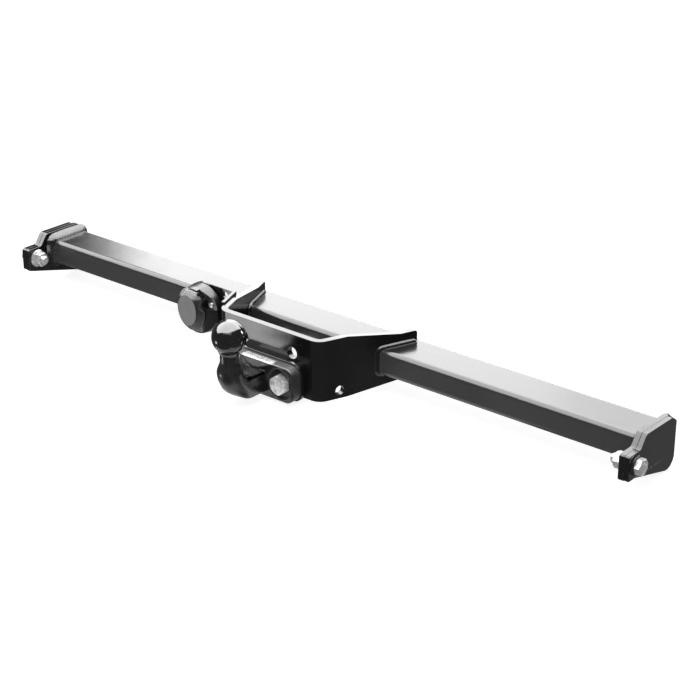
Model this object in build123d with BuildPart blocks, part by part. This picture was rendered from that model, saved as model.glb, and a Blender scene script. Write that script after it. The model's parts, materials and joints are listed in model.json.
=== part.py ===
from build123d import *
import math
import os

# Fixed flange-ball tow bar for a car: a hollow crossbar between two end plates, a splayed U bracket
# welded round its middle, a forged 50 mm ball bolted to the bracket's web, and an electric socket
# with a sprung lid on a side plate. Millimetres. The origin is the centre of the ball, +X runs along
# the crossbar to the right for a person who faces the car's tail, +Y points towards the car, +Z is up.
# Depths are measured rearwards from the bar's front face, heights upwards from the bar's top face.

# Crossbar
BAR_LENGTH = 1130.0
BAR_DEPTH = 70.0
BAR_HEIGHT = 40.0
BAR_WALL = 4.0
BAR_RADIUS = 8.0
BAR_BEHIND_BALL = 170.0
BAR_BELOW_BALL = 40.5

# End plates and side brackets
PLATE_THICKNESS = 8.0
EAR_REACH = 49.0
EAR_TOP = -4.5
EAR_BOTTOM = -41.0
EAR_CORNER = 4.5
STEP_START = -21.0
STEP_END = -8.5
STEP_RADIUS = 7.0
CROWN_TOP = 13.0
CROWN_RADIUS = 8.0
REAR_OVERHANG = 11.0
REAR_CHAMFER_DEPTH = 22.0
REAR_CHAMFER_HEIGHT = 16.0
REAR_BOTTOM = -76.0
REAR_CORNER = 18.0
SIDE_REAR_INSET = 9.0
SIDE_REAR_CORNER = 9.0
SMALL_CORNER = 3.0

# Hexagon fasteners
SIDE_THREAD = 14.0
SIDE_FLATS = 21.0
SIDE_HEAD = 8.8
SIDE_NUT = 14.0
SIDE_NUT_COLLAR = 29.0
SIDE_WASHER = 28.0
FLANGE_THREAD = 18.0
FLANGE_FLATS = 27.0
FLANGE_HEAD = 11.5
FLANGE_NUT = 15.0
FLANGE_WASHER = 34.0
LEG_THREAD = 12.0
LEG_FLATS = 18.0
LEG_HEAD = 7.5
LEG_NUT = 10.0
WASHER_THICKNESS = 2.5
COLLAR_THICKNESS = 3.0
THREAD_END = 6.0
HOLE_CLEARANCE = 1.0
THREAD_CLEARANCE = 0.1
CORNER_TRIM = 0.95
CORNER_ANGLE = 30.0

# Centre bracket
BRACKET_THICKNESS = 10.0
WEB_REACH = 90.5
BRACKET_HALF_WIDTH = 130.0
CHEEK_SPLAY = 20.8
BRACKET_TOP = 31.0
BRACKET_BOTTOM = -62.5
BEND_RADIUS = 10.0
CHEEK_REAR_MARGIN = 8.0
CHEEK_TOP_REAR = 16.5
CHEEK_BOTTOM_REAR = -52.5
CHEEK_SLOPE_START = -46.0
CHEEK_SLOPE_END = 36.0
CHEEK_CORNER = 4.0
NOTCH_CLEARANCE = 0.3
UPPER_HOLE_SPACING = 93.0
UPPER_HOLE_HEIGHT = 2.0
UPPER_HOLE_DIAMETER = 18.0
CHEEK_HOLE_DEPTH = -58.0
CHEEK_HOLE_HEIGHT = -50.0

# Weld beads
WELD_LEG = 6.0
WELD_GAP = 0.1
WELD_SLOPE = 40.0
WELD_TOE = 1.2

# Tow ball
BALL_DIAMETER = 50.0
NECK_DIAMETER = 28.0
NECK_LENGTH = 36.0
ARM_WIDTH = 40.0
ARM_HEIGHT = 36.0
ELBOW_RADIUS = 27.0
FLANGE_WIDTH = 138.0
FLANGE_HEIGHT = 54.0
FLANGE_THICKNESS = 17.0
FLANGE_CORNER = 14.0
FLANGE_CENTRE_HEIGHT = -39.0
FLANGE_HOLE_SPACING = 90.0
SPOTFACE_DIAMETER = 43.0
SPOTFACE_DEPTH = 4.0
PAD_DIAMETER = 47.0
BOSS_TOP_WIDTH = 76.0
BOSS_FOOT_WIDTH = 20.0
BOSS_DEPTH = 22.0
BOSS_TAPER = 0.6
BOSS_EDGE = 1.0
NOTCH_WIDTH = 56.0
NOTCH_DEPTH = 12.0
SPACER_THICKNESS = 8.0
SPACER_MARGIN = 2.5

# Socket plate and socket
SOCKET_X = -181.0
SOCKET_HEIGHT = -6.0
SOCKET_DIAMETER = 78.0
SOCKET_PLATE = 5.0
SOCKET_PLATE_FRONT = -32.0
SOCKET_PLATE_TOP = 33.5
SOCKET_PLATE_START = 10.0
LEG_FRONT = -70.0
LEG_BOTTOM = -62.0
SPARE_HOLE_DIAMETER = 10.5
SPARE_HOLE_INSET = 18.0
SPARE_HOLE_DROP = 9.5
PLATE_EDGE_GAP = 0.3
GASKET_THICKNESS = 2.0
GASKET_INSET = 0.8
HOUSING_DEPTH = 18.0
HOUSING_TAPER = 7.0
HOUSING_EDGE = 1.5
MOUTH_OFFSET = -6.5
MOUTH_DIAMETER = 34.0
INSERT_DEPTH = 12.0
CONTACT_DIAMETER = 3.6
CONTACT_BORE = 1.8
CONTACT_LENGTH = 11.5
CONTACT_OUTER_RING = 12.0
CONTACT_INNER_RING = 5.5
CONTACT_COUNTS = (9, 4)
LID_DEPTH = 10.0
LID_OFFSET = -9.5
LID_WIDTH = 57.0
LID_HEIGHT = 70.0
LID_FACE_WIDTH = 39.0
LID_FACE_HEIGHT = 59.0
LID_FACE_RISE = 4.5
LID_GAP = 0.3
LID_RECESS = 7.0
SEAL_WIDTH = 3.0
SEAL_DEPTH = 4.0
SEAL_GAP = 0.15
SCREW_DIAMETER = 5.0
SCREW_HEAD_DIAMETER = 9.0
SCREW_HEAD = 2.6
SCREW_CIRCLE = 55.0
SCREW_COUNT = 3
SCREW_START_ANGLE = 27.0
SCREW_RECESS = 9.0
SCREW_SPARE = 1.0
RECESS_WIDTH = 20.0
NUT_FLATS = 8.0
NUT_HEIGHT = 4.0
GROMMET_DIAMETER = 26.0
GROMMET_LENGTH = 16.0
GROMMET_LIP = 3.0
GROMMET_TAPER = 6.0
CABLE_BORE = 9.0

# Lid hinge
HINGE_FORWARD = 5.5
HINGE_RISE = 31.0
PIN_DIAMETER = 2.5
PIN_CLEARANCE = 0.05
KNUCKLE_DIAMETER = 6.4
HINGE_SPAN = 16.0
HINGE_EAR = 4.0
HINGE_PLAY = 0.4
HINGE_ROOM = 0.8
LUG_WIDTH = 7.4
SPRING_WIRE = 0.8

bar_front = BAR_BEHIND_BALL
bar_rear = bar_front + BAR_DEPTH
bar_top = -BAR_BELOW_BALL
bar_middle = (bar_front + BAR_DEPTH / 2, bar_top - BAR_HEIGHT / 2)
bar_half = BAR_LENGTH / 2
splay = math.radians(CHEEK_SPLAY)
web_front = bar_front - WEB_REACH
web_rear = web_front + BRACKET_THICKNESS
flange_rear = web_front - SPACER_THICKNESS
flange_front = flange_rear - FLANGE_THICKNESS
flange_height = bar_top + FLANGE_CENTRE_HEIGHT
ear_bolt = (
    bar_front - EAR_REACH + (EAR_TOP - EAR_BOTTOM) / 2,
    bar_top + (EAR_TOP + EAR_BOTTOM) / 2,
)
SIDES = (-1, 1)

os.makedirs("parts", exist_ok=True)


def write(part, name):
    """Label a finished piece and write its STEP file."""
    part.label = name
    export_step(part, f"parts/{name}.step")


def group(name, pieces):
    """Write several separate solids as one node."""
    with BuildPart() as node:
        add(pieces)
    write(node.part, name)


def facing_front(depth_plane):
    """Plane across the car's length at one Y, looking out of its front side."""
    return Plane(origin=(0, depth_plane, 0), x_dir=(1, 0, 0), z_dir=(0, -1, 0))


def facing_side(x, side):
    """Plane at one X whose normal points to that side and whose local axes are Y and Z."""
    return Plane(origin=(x, 0, 0), x_dir=(0, side, 0), z_dir=(side, 0, 0))


def cheek_plane(side, inset=0.0):
    """Plane on a cheek's outer face: local x runs rearwards along it, local y is side times up."""
    out = Vector(side * math.cos(splay), -math.sin(splay), 0)
    along = Vector(side * math.sin(splay), math.cos(splay), 0)
    corner = Vector(side * BRACKET_HALF_WIDTH, bar_front, bar_top) - out * inset
    return Plane(origin=corner, x_dir=along, z_dir=out)


def on_cheek(side, depth, height):
    """Local coordinates on cheek_plane of a place given by its depth and height."""
    return (depth / math.cos(splay), side * height)


def bar_prism(outset):
    """The bar's whole outside, grown by an outset, as a tool for cutting."""
    with BuildPart() as prism:
        with BuildSketch(Plane.YZ.offset(-bar_half)):
            with Locations(bar_middle):
                RectangleRounded(BAR_DEPTH + 2 * outset, BAR_HEIGHT + 2 * outset, BAR_RADIUS + outset)
        extrude(amount=BAR_LENGTH)
    return prism.part


def hex_bolt(seat, thread, flats, head, grip):
    """Bolt with its head on the seat plane and its shank running against the plane's normal."""
    with BuildPart() as bolt:
        with BuildSketch(seat):
            RegularPolygon(flats / 2, 6, major_radius=False)
        extrude(amount=head)
        with BuildSketch(seat.offset(head)):
            Circle(flats / 2 * CORNER_TRIM)
        extrude(amount=-head, taper=CORNER_ANGLE - 90, mode=Mode.INTERSECT)
        with BuildSketch(seat):
            Circle(thread / 2)
        extrude(amount=-grip)
    return bolt.part


def hex_nut(seat, thread, flats, height, collar=0.0):
    """Nut standing on the seat plane, with a round collar at its foot if one is given."""
    with BuildPart() as nut:
        with BuildSketch(seat):
            RegularPolygon(flats / 2, 6, major_radius=False)
        extrude(amount=height)
        with BuildSketch(seat.offset(height)):
            Circle(flats / 2 * CORNER_TRIM)
        extrude(amount=-height, taper=CORNER_ANGLE - 90, mode=Mode.INTERSECT)
        if collar:
            with BuildSketch(seat):
                Circle(collar / 2)
            extrude(amount=COLLAR_THICKNESS)
        with BuildSketch(seat):
            Circle(thread / 2 + THREAD_CLEARANCE)
        extrude(amount=height, mode=Mode.SUBTRACT)
    return nut.part


def washer(seat, thread, diameter):
    """Flat washer standing on the seat plane."""
    with BuildPart() as ring:
        with BuildSketch(seat):
            Circle(diameter / 2)
            Circle(thread / 2 + HOLE_CLEARANCE / 2, mode=Mode.SUBTRACT)
        extrude(amount=WASHER_THICKNESS)
    return ring.part


def at(plane, x, y):
    """The same plane with its origin moved to a local place."""
    return Plane(origin=plane.from_local_coords((x, y, 0)), x_dir=plane.x_dir, z_dir=plane.z_dir)


# Crossbar: closed rounded section, open at both ends until the plates cap it
with BuildPart() as crossbar:
    with BuildSketch(Plane.YZ.offset(-bar_half)):
        with Locations(bar_middle):
            RectangleRounded(BAR_DEPTH, BAR_HEIGHT, BAR_RADIUS)
            RectangleRounded(
                BAR_DEPTH - 2 * BAR_WALL,
                BAR_HEIGHT - 2 * BAR_WALL,
                BAR_RADIUS - BAR_WALL,
                mode=Mode.SUBTRACT,
            )
    extrude(amount=BAR_LENGTH)
write(crossbar.part, "crossbar")


# End plates, welded to the bar, and side brackets, bolted to their ears
ear_points = [
    (-EAR_REACH, EAR_BOTTOM, SMALL_CORNER),
    (-EAR_REACH, EAR_TOP, EAR_CORNER),
    (STEP_START, EAR_TOP, STEP_RADIUS),
    (STEP_END, CROWN_TOP, CROWN_RADIUS),
]
end_plate_points = ear_points + [
    (BAR_DEPTH + REAR_OVERHANG - REAR_CHAMFER_DEPTH, CROWN_TOP, EAR_CORNER),
    (BAR_DEPTH + REAR_OVERHANG, CROWN_TOP - REAR_CHAMFER_HEIGHT, SMALL_CORNER),
    (BAR_DEPTH + REAR_OVERHANG, REAR_BOTTOM, REAR_CORNER),
]
side_bracket_points = ear_points + [
    (BAR_DEPTH - SIDE_REAR_INSET, CROWN_TOP, SIDE_REAR_CORNER),
    (BAR_DEPTH - SIDE_REAR_INSET, EAR_BOTTOM, SMALL_CORNER),
]


def profiled_plate(side, inner_face, points):
    """Plate with an outline of (depth, height, corner radius) points and the ear's bolt hole."""
    with BuildPart() as plate:
        with BuildSketch(Plane.YZ.offset(side * inner_face)):
            with BuildLine():
                FilletPolyline(
                    *[(bar_front + depth, bar_top + height) for depth, height, radius in points],
                    radius=[radius for depth, height, radius in points],
                    close=True,
                )
            make_face()
            with Locations(ear_bolt):
                Circle((SIDE_THREAD + HOLE_CLEARANCE) / 2, mode=Mode.SUBTRACT)
        extrude(amount=side * PLATE_THICKNESS)
    return plate.part


for side, word in zip(SIDES, ("left", "right")):
    write(profiled_plate(side, bar_half, end_plate_points), f"end_plate_{word}")
    write(profiled_plate(side, bar_half + PLATE_THICKNESS, side_bracket_points), f"side_bracket_{word}")


def end_weld(side):
    """Fillet bead round the bar on an end plate's inner face."""
    with BuildPart() as bead:
        with BuildSketch(Plane.YZ.offset(side * bar_half)):
            with Locations(bar_middle):
                RectangleRounded(BAR_DEPTH + 2 * WELD_LEG, BAR_HEIGHT + 2 * WELD_LEG, BAR_RADIUS + WELD_LEG)
        extrude(amount=-side * WELD_LEG, taper=WELD_SLOPE)
        add(bar_tool, mode=Mode.SUBTRACT)
    return bead.part


bar_tool = bar_prism(WELD_GAP)
group("end_plate_welds", [end_weld(side) for side in SIDES])

side_stack = bar_half + 2 * PLATE_THICKNESS
side_grip = WASHER_THICKNESS + 2 * PLATE_THICKNESS + SIDE_NUT + THREAD_END
bolts, washers, nuts = [], [], []
for side in SIDES:
    outer_seat = at(facing_side(side * side_stack, side), side * ear_bolt[0], ear_bolt[1])
    inner_seat = at(facing_side(side * bar_half, -side), -side * ear_bolt[0], ear_bolt[1])
    bolts.append(hex_bolt(outer_seat.offset(WASHER_THICKNESS), SIDE_THREAD, SIDE_FLATS, SIDE_HEAD, side_grip))
    washers.append(washer(outer_seat, SIDE_THREAD, SIDE_WASHER))
    nuts.append(hex_nut(inner_seat, SIDE_THREAD, SIDE_FLATS, SIDE_NUT, SIDE_NUT_COLLAR))
group("side_bolts", bolts)
group("side_washers", washers)
group("side_nuts", nuts)


# Centre bracket: bent plate with its web in front and two splayed cheeks notched round the bar
bracket_rear = bar_rear - CHEEK_REAR_MARGIN
plate_across = BRACKET_THICKNESS / math.cos(splay)


def cheek_x(y, inset=0.0):
    """Half width of the bracket's outer outline at one Y."""
    return BRACKET_HALF_WIDTH + (y - bar_front) * math.tan(splay) - inset


def bracket_outline(front, rear, inset):
    """Corners of the splayed outline between two Y values, front pair first."""
    return [
        (-cheek_x(front, inset), front),
        (cheek_x(front, inset), front),
        (cheek_x(rear, inset), rear),
        (-cheek_x(rear, inset), rear),
    ]


with BuildPart() as centre_bracket:
    with BuildSketch(Plane.XY.offset(bar_top + BRACKET_BOTTOM)) as outside:
        Polygon(*bracket_outline(web_front, bracket_rear, 0), align=None)
        fillet(outside.vertices().group_by(Axis.Y)[0], radius=BEND_RADIUS + BRACKET_THICKNESS)
    extrude(amount=BRACKET_TOP - BRACKET_BOTTOM)
    with BuildSketch(Plane.XY.offset(bar_top + BRACKET_BOTTOM)) as inside:
        Polygon(*bracket_outline(web_rear, bracket_rear + BRACKET_THICKNESS, plate_across), align=None)
        fillet(inside.vertices().group_by(Axis.Y)[0], radius=BEND_RADIUS)
    extrude(amount=BRACKET_TOP - BRACKET_BOTTOM, mode=Mode.SUBTRACT)
    with BuildSketch(Plane.YZ) as side_view:
        Polygon(
            (web_front - BRACKET_THICKNESS, bar_top + BRACKET_TOP),
            (bar_front + CHEEK_SLOPE_START, bar_top + BRACKET_TOP),
            (bar_front + CHEEK_SLOPE_END, bar_top + CHEEK_TOP_REAR),
            (bracket_rear, bar_top + CHEEK_TOP_REAR),
            (bracket_rear, bar_top + CHEEK_BOTTOM_REAR),
            (bar_front + CHEEK_SLOPE_START, bar_top + BRACKET_BOTTOM),
            (web_front - BRACKET_THICKNESS, bar_top + BRACKET_BOTTOM),
            align=None,
        )
        fillet(side_view.vertices().group_by(Axis.X)[-1], radius=CHEEK_CORNER)
    extrude(amount=cheek_x(bracket_rear) + BRACKET_THICKNESS, both=True, mode=Mode.INTERSECT)
    add(bar_prism(NOTCH_CLEARANCE), mode=Mode.SUBTRACT)
    with BuildSketch(facing_front(web_front)):
        with Locations((0, bar_top + UPPER_HOLE_HEIGHT)):
            with GridLocations(UPPER_HOLE_SPACING, 1, 2, 1):
                Circle(UPPER_HOLE_DIAMETER / 2)
        with Locations((0, flange_height)):
            with GridLocations(FLANGE_HOLE_SPACING, 1, 2, 1):
                Circle((FLANGE_THREAD + HOLE_CLEARANCE) / 2)
    extrude(amount=-BRACKET_THICKNESS, mode=Mode.SUBTRACT)
    for side in SIDES:
        with BuildSketch(cheek_plane(side)):
            with Locations(on_cheek(side, CHEEK_HOLE_DEPTH, CHEEK_HOLE_HEIGHT)):
                Circle((LEG_THREAD + 2 * HOLE_CLEARANCE) / 2)
        extrude(amount=-BRACKET_THICKNESS, mode=Mode.SUBTRACT)
write(centre_bracket.part, "centre_bracket")


def cheek_weld(side, outside):
    """Bead round the bar on a cheek's outer or inner face, open at the rear."""
    face = cheek_plane(side, 0 if outside else BRACKET_THICKNESS)
    away = 1 if outside else -1
    slide = 0 if outside else -BRACKET_THICKNESS * math.tan(splay)
    width = BAR_DEPTH / math.cos(splay)
    with BuildPart() as bead:
        for step, outset in ((0, WELD_LEG), (WELD_LEG, WELD_TOE)):
            shift = slide + away * step * math.tan(splay)
            with BuildSketch(face.offset(away * step)):
                with Locations((width / 2 + shift, -side * BAR_HEIGHT / 2)):
                    RectangleRounded(width + 2 * outset, BAR_HEIGHT + 2 * outset, BAR_RADIUS + outset)
        loft()
        add(bar_tool, mode=Mode.SUBTRACT)
        with BuildSketch(facing_front(bracket_rear)):
            Rectangle(4 * BRACKET_HALF_WIDTH, 4 * BRACKET_HALF_WIDTH)
        extrude(amount=-BAR_DEPTH, mode=Mode.SUBTRACT)
    return bead.part


group("bracket_welds", [cheek_weld(side, outside) for side in SIDES for outside in (True, False)])


def boss_corners(half_top, half_foot, half_height):
    """Corners of an outline round the flange's centre, wider at its top than at its foot."""
    low, high = flange_height - half_height, flange_height + half_height
    return ((-half_foot, low), (half_foot, low), (half_top, high), (-half_top, high))


# Tow ball: one forging, ball on a round neck that bends back into a two-hole flange. The arm's root
# spreads up to the flange's top corners in two ribs, with a notch between them.
elbow_start = flange_height + ELBOW_RADIUS
flange_top = flange_height + FLANGE_HEIGHT / 2
foot_share = BOSS_FOOT_WIDTH / BOSS_TOP_WIDTH
with BuildPart() as tow_ball:
    with BuildSketch(facing_front(flange_front)):
        with BuildLine():
            Polyline(*boss_corners(BOSS_TOP_WIDTH / 2, BOSS_FOOT_WIDTH / 2, FLANGE_HEIGHT / 2 - BOSS_EDGE), close=True)
        make_face()
    with BuildSketch(facing_front(flange_front - BOSS_DEPTH)):
        with BuildLine():
            Polyline(
                *boss_corners(
                    ARM_WIDTH / 2 * BOSS_TAPER, ARM_WIDTH / 2 * foot_share, ARM_HEIGHT / 2 * BOSS_TAPER
                ),
                close=True,
            )
        make_face()
    loft()
    with BuildSketch(facing_front(flange_front)):
        with BuildLine():
            Polyline(
                (0, flange_top - NOTCH_DEPTH), (NOTCH_WIDTH / 2, flange_top), (-NOTCH_WIDTH / 2, flange_top), close=True
            )
        make_face()
    extrude(amount=BOSS_DEPTH, mode=Mode.SUBTRACT)
    with BuildSketch(facing_front(flange_front)):
        with Locations((0, flange_height)):
            with GridLocations(FLANGE_HOLE_SPACING, 1, 2, 1):
                Circle(PAD_DIAMETER / 2)
    extrude(amount=BOSS_DEPTH, mode=Mode.SUBTRACT)
    Sphere(BALL_DIAMETER / 2)
    with BuildSketch(Plane.XY.offset(-NECK_LENGTH)):
        Circle(NECK_DIAMETER / 2)
    extrude(amount=NECK_LENGTH)
    with BuildSketch(Plane.XY.offset(-NECK_LENGTH)):
        Circle(NECK_DIAMETER / 2)
    with BuildSketch(Plane.XY.offset(elbow_start)):
        Ellipse(ARM_WIDTH / 2, ARM_HEIGHT / 2)
    loft()
    with BuildSketch(Plane.XY.offset(elbow_start)):
        Ellipse(ARM_WIDTH / 2, ARM_HEIGHT / 2)
    revolve(axis=Axis((0, ELBOW_RADIUS, elbow_start), (1, 0, 0)), revolution_arc=90)
    with BuildSketch(facing_front(ELBOW_RADIUS)):
        with Locations((0, flange_height)):
            Ellipse(ARM_WIDTH / 2, ARM_HEIGHT / 2)
    extrude(amount=ELBOW_RADIUS - flange_front)
    with BuildSketch(facing_front(flange_rear)):
        with Locations((0, flange_height)):
            RectangleRounded(FLANGE_WIDTH, FLANGE_HEIGHT, FLANGE_CORNER)
    extrude(amount=FLANGE_THICKNESS)
    with BuildSketch(facing_front(flange_front + SPOTFACE_DEPTH)):
        with Locations((0, flange_height)):
            with GridLocations(FLANGE_HOLE_SPACING, 1, 2, 1):
                Circle(SPOTFACE_DIAMETER / 2)
    extrude(amount=SPOTFACE_DEPTH, mode=Mode.SUBTRACT)
    with BuildSketch(facing_front(flange_rear)):
        with Locations((0, flange_height)):
            with GridLocations(FLANGE_HOLE_SPACING, 1, 2, 1):
                Circle((FLANGE_THREAD + HOLE_CLEARANCE) / 2)
    extrude(amount=FLANGE_THICKNESS, mode=Mode.SUBTRACT)
write(tow_ball.part, "tow_ball")

with BuildPart() as spacer_plate:
    with BuildSketch(facing_front(web_front)):
        with Locations((0, flange_height)):
            RectangleRounded(
                FLANGE_WIDTH + 2 * SPACER_MARGIN, FLANGE_HEIGHT + 2 * SPACER_MARGIN, FLANGE_CORNER + SPACER_MARGIN
            )
            with GridLocations(FLANGE_HOLE_SPACING, 1, 2, 1):
                Circle((FLANGE_THREAD + HOLE_CLEARANCE) / 2, mode=Mode.SUBTRACT)
    extrude(amount=SPACER_THICKNESS)
write(spacer_plate.part, "spacer_plate")

flange_stack = web_rear - (flange_front + SPOTFACE_DEPTH)
flange_grip = flange_stack + WASHER_THICKNESS + FLANGE_NUT + THREAD_END
bolts, washers, nuts = [], [], []
for side in SIDES:
    x = side * FLANGE_HOLE_SPACING / 2
    front_seat = at(facing_front(flange_front + SPOTFACE_DEPTH), x, flange_height)
    rear_seat = Plane(origin=(x, web_rear, flange_height), x_dir=(-1, 0, 0), z_dir=(0, 1, 0))
    bolts.append(hex_bolt(front_seat, FLANGE_THREAD, FLANGE_FLATS, FLANGE_HEAD, flange_grip))
    washers.append(washer(rear_seat, FLANGE_THREAD, FLANGE_WASHER))
    nuts.append(hex_nut(rear_seat.offset(WASHER_THICKNESS), FLANGE_THREAD, FLANGE_FLATS, FLANGE_NUT))
group("flange_bolts", bolts)
group("flange_washers", washers)
group("flange_nuts", nuts)


# Socket plate: a leg on the left cheek and a face leg, rounded round the socket, across the car
socket_at = (SOCKET_X, bar_top + SOCKET_HEIGHT)
socket_radius = SOCKET_DIAMETER / 2
plate_front = bar_front + SOCKET_PLATE_FRONT
plate_back = plate_front + SOCKET_PLATE
face_right = -cheek_x(plate_back) - PLATE_EDGE_GAP
with BuildPart() as socket_plate:
    with BuildSketch(facing_front(plate_back)):
        with Locations(socket_at):
            Circle(socket_radius)
        with Locations((SOCKET_X + SOCKET_PLATE_START, bar_top + SOCKET_PLATE_TOP)):
            Rectangle(face_right - SOCKET_X - SOCKET_PLATE_START, SOCKET_DIAMETER, align=(Align.MIN, Align.MAX))
    extrude(amount=SOCKET_PLATE)
    with BuildSketch(cheek_plane(-1)):
        front_top = on_cheek(-1, LEG_FRONT, SOCKET_PLATE_TOP)
        rear_bottom = on_cheek(-1, SOCKET_PLATE_FRONT + SOCKET_PLATE, LEG_BOTTOM)
        with Locations(((front_top[0] + rear_bottom[0]) / 2, (front_top[1] + rear_bottom[1]) / 2)):
            Rectangle(rear_bottom[0] - front_top[0], rear_bottom[1] - front_top[1])
    extrude(amount=SOCKET_PLATE)
    with BuildSketch(facing_front(plate_back)):
        with Locations(socket_at):
            Circle(GROMMET_DIAMETER / 2)
            with PolarLocations(SCREW_CIRCLE / 2, SCREW_COUNT, start_angle=SCREW_START_ANGLE):
                Circle(SCREW_DIAMETER / 2 + HOLE_CLEARANCE / 4)
        with Locations((face_right - SPARE_HOLE_INSET, bar_top + SOCKET_PLATE_TOP - SPARE_HOLE_DROP)):
            Circle(SPARE_HOLE_DIAMETER / 2)
    extrude(amount=SOCKET_PLATE, mode=Mode.SUBTRACT)
    with BuildSketch(cheek_plane(-1)):
        with Locations(on_cheek(-1, CHEEK_HOLE_DEPTH, CHEEK_HOLE_HEIGHT)):
            Circle((LEG_THREAD + HOLE_CLEARANCE) / 2)
    extrude(amount=SOCKET_PLATE, mode=Mode.SUBTRACT)
write(socket_plate.part, "socket_plate")

leg_grip = SOCKET_PLATE + BRACKET_THICKNESS + LEG_NUT + THREAD_END
leg_hole = on_cheek(-1, CHEEK_HOLE_DEPTH, CHEEK_HOLE_HEIGHT)
leg_seat = at(cheek_plane(-1), *leg_hole)
nut_face = at(cheek_plane(-1, BRACKET_THICKNESS), *leg_hole)
nut_seat = Plane(origin=nut_face.origin, x_dir=nut_face.x_dir, z_dir=-nut_face.z_dir)
write(hex_bolt(leg_seat.offset(SOCKET_PLATE), LEG_THREAD, LEG_FLATS, LEG_HEAD, leg_grip), "socket_plate_bolt")
write(hex_nut(nut_seat, LEG_THREAD, LEG_FLATS, LEG_NUT), "socket_plate_nut")


# Socket: gasket, housing, contact insert with its contacts, and the fixing screws
gasket_front = plate_front - GASKET_THICKNESS
housing_front = gasket_front - HOUSING_DEPTH
mouth_at = (socket_at[0] + MOUTH_OFFSET, socket_at[1])
lid_x = SOCKET_X + LID_OFFSET
hinge_y = housing_front - HINGE_FORWARD
hinge_z = socket_at[1] + HINGE_RISE
knuckle_radius = KNUCKLE_DIAMETER / 2
ear_inner = HINGE_SPAN / 2
ear_outer = ear_inner + HINGE_EAR

with BuildPart() as socket_gasket:
    with BuildSketch(facing_front(plate_front)):
        with Locations(socket_at):
            Circle(socket_radius - GASKET_INSET)
            Circle(GROMMET_DIAMETER / 2, mode=Mode.SUBTRACT)
            with PolarLocations(SCREW_CIRCLE / 2, SCREW_COUNT, start_angle=SCREW_START_ANGLE):
                Circle(SCREW_DIAMETER / 2 + HOLE_CLEARANCE / 4, mode=Mode.SUBTRACT)
    extrude(amount=GASKET_THICKNESS)
write(socket_gasket.part, "socket_gasket")


def hinge_block(x_from, x_to, foot_y, foot_z):
    """Knuckle round the hinge axis between two X values, with a foot running to a corner."""
    with BuildPart() as block:
        with BuildSketch(Plane.YZ.offset(x_from)):
            with Locations((hinge_y, hinge_z)):
                Circle(knuckle_radius)
            with Locations(((hinge_y + foot_y) / 2, (hinge_z + foot_z) / 2)):
                Rectangle(abs(foot_y - hinge_y), abs(foot_z - hinge_z))
            with Locations((hinge_y, hinge_z)):
                Circle(PIN_DIAMETER / 2 + PIN_CLEARANCE, mode=Mode.SUBTRACT)
        extrude(amount=x_to - x_from)
    return block.part


ears = [
    hinge_block(SOCKET_X + side * ear_inner, SOCKET_X + side * ear_outer, housing_front, hinge_z - knuckle_radius)
    for side in SIDES
]
with BuildPart() as socket_housing:
    with BuildSketch(facing_front(gasket_front)):
        with Locations(socket_at):
            Circle(socket_radius)
    extrude(amount=HOUSING_DEPTH, taper=HOUSING_TAPER)
    fillet(socket_housing.faces().sort_by(Axis.Y)[0].edges(), radius=HOUSING_EDGE)
    with BuildSketch(facing_front(gasket_front)):
        with Locations(mouth_at):
            Circle(MOUTH_DIAMETER / 2)
        with Locations(socket_at):
            with PolarLocations(SCREW_CIRCLE / 2, SCREW_COUNT, start_angle=SCREW_START_ANGLE):
                Circle(SCREW_DIAMETER / 2 + HOLE_CLEARANCE / 4)
    extrude(amount=HOUSING_DEPTH, mode=Mode.SUBTRACT)
    with BuildSketch(facing_front(housing_front)):
        with Locations(socket_at):
            with PolarLocations(SCREW_CIRCLE / 2, SCREW_COUNT, start_angle=SCREW_START_ANGLE):
                Circle(SCREW_HEAD_DIAMETER / 2 + HOLE_CLEARANCE / 4)
            with PolarLocations(SCREW_CIRCLE / 2, 1, start_angle=SCREW_START_ANGLE):
                Circle(RECESS_WIDTH / 2)
                Rectangle(RECESS_WIDTH, RECESS_WIDTH, align=(Align.MIN, Align.CENTER))
    extrude(amount=-SCREW_RECESS, mode=Mode.SUBTRACT)
    add(ears)
write(socket_housing.part, "socket_housing")

contact_spots = [
    (mouth_at[0] + radius * math.cos(2 * math.pi * k / count), mouth_at[1] + radius * math.sin(2 * math.pi * k / count))
    for radius, count in zip((CONTACT_OUTER_RING, CONTACT_INNER_RING), CONTACT_COUNTS)
    for k in range(count)
]
insert_front = gasket_front - INSERT_DEPTH
with BuildPart() as contact_insert:
    with BuildSketch(facing_front(gasket_front)):
        with Locations(mouth_at):
            Circle(MOUTH_DIAMETER / 2 - THREAD_CLEARANCE)
        with Locations(*contact_spots):
            Circle(CONTACT_DIAMETER / 2 + THREAD_CLEARANCE / 2, mode=Mode.SUBTRACT)
    extrude(amount=INSERT_DEPTH)
write(contact_insert.part, "contact_insert")

with BuildPart() as contacts:
    with BuildSketch(facing_front(insert_front - THREAD_CLEARANCE + CONTACT_LENGTH)):
        with Locations(*contact_spots):
            Circle(CONTACT_DIAMETER / 2)
            Circle(CONTACT_BORE / 2, mode=Mode.SUBTRACT)
    extrude(amount=CONTACT_LENGTH)
write(contacts.part, "contacts")

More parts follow.
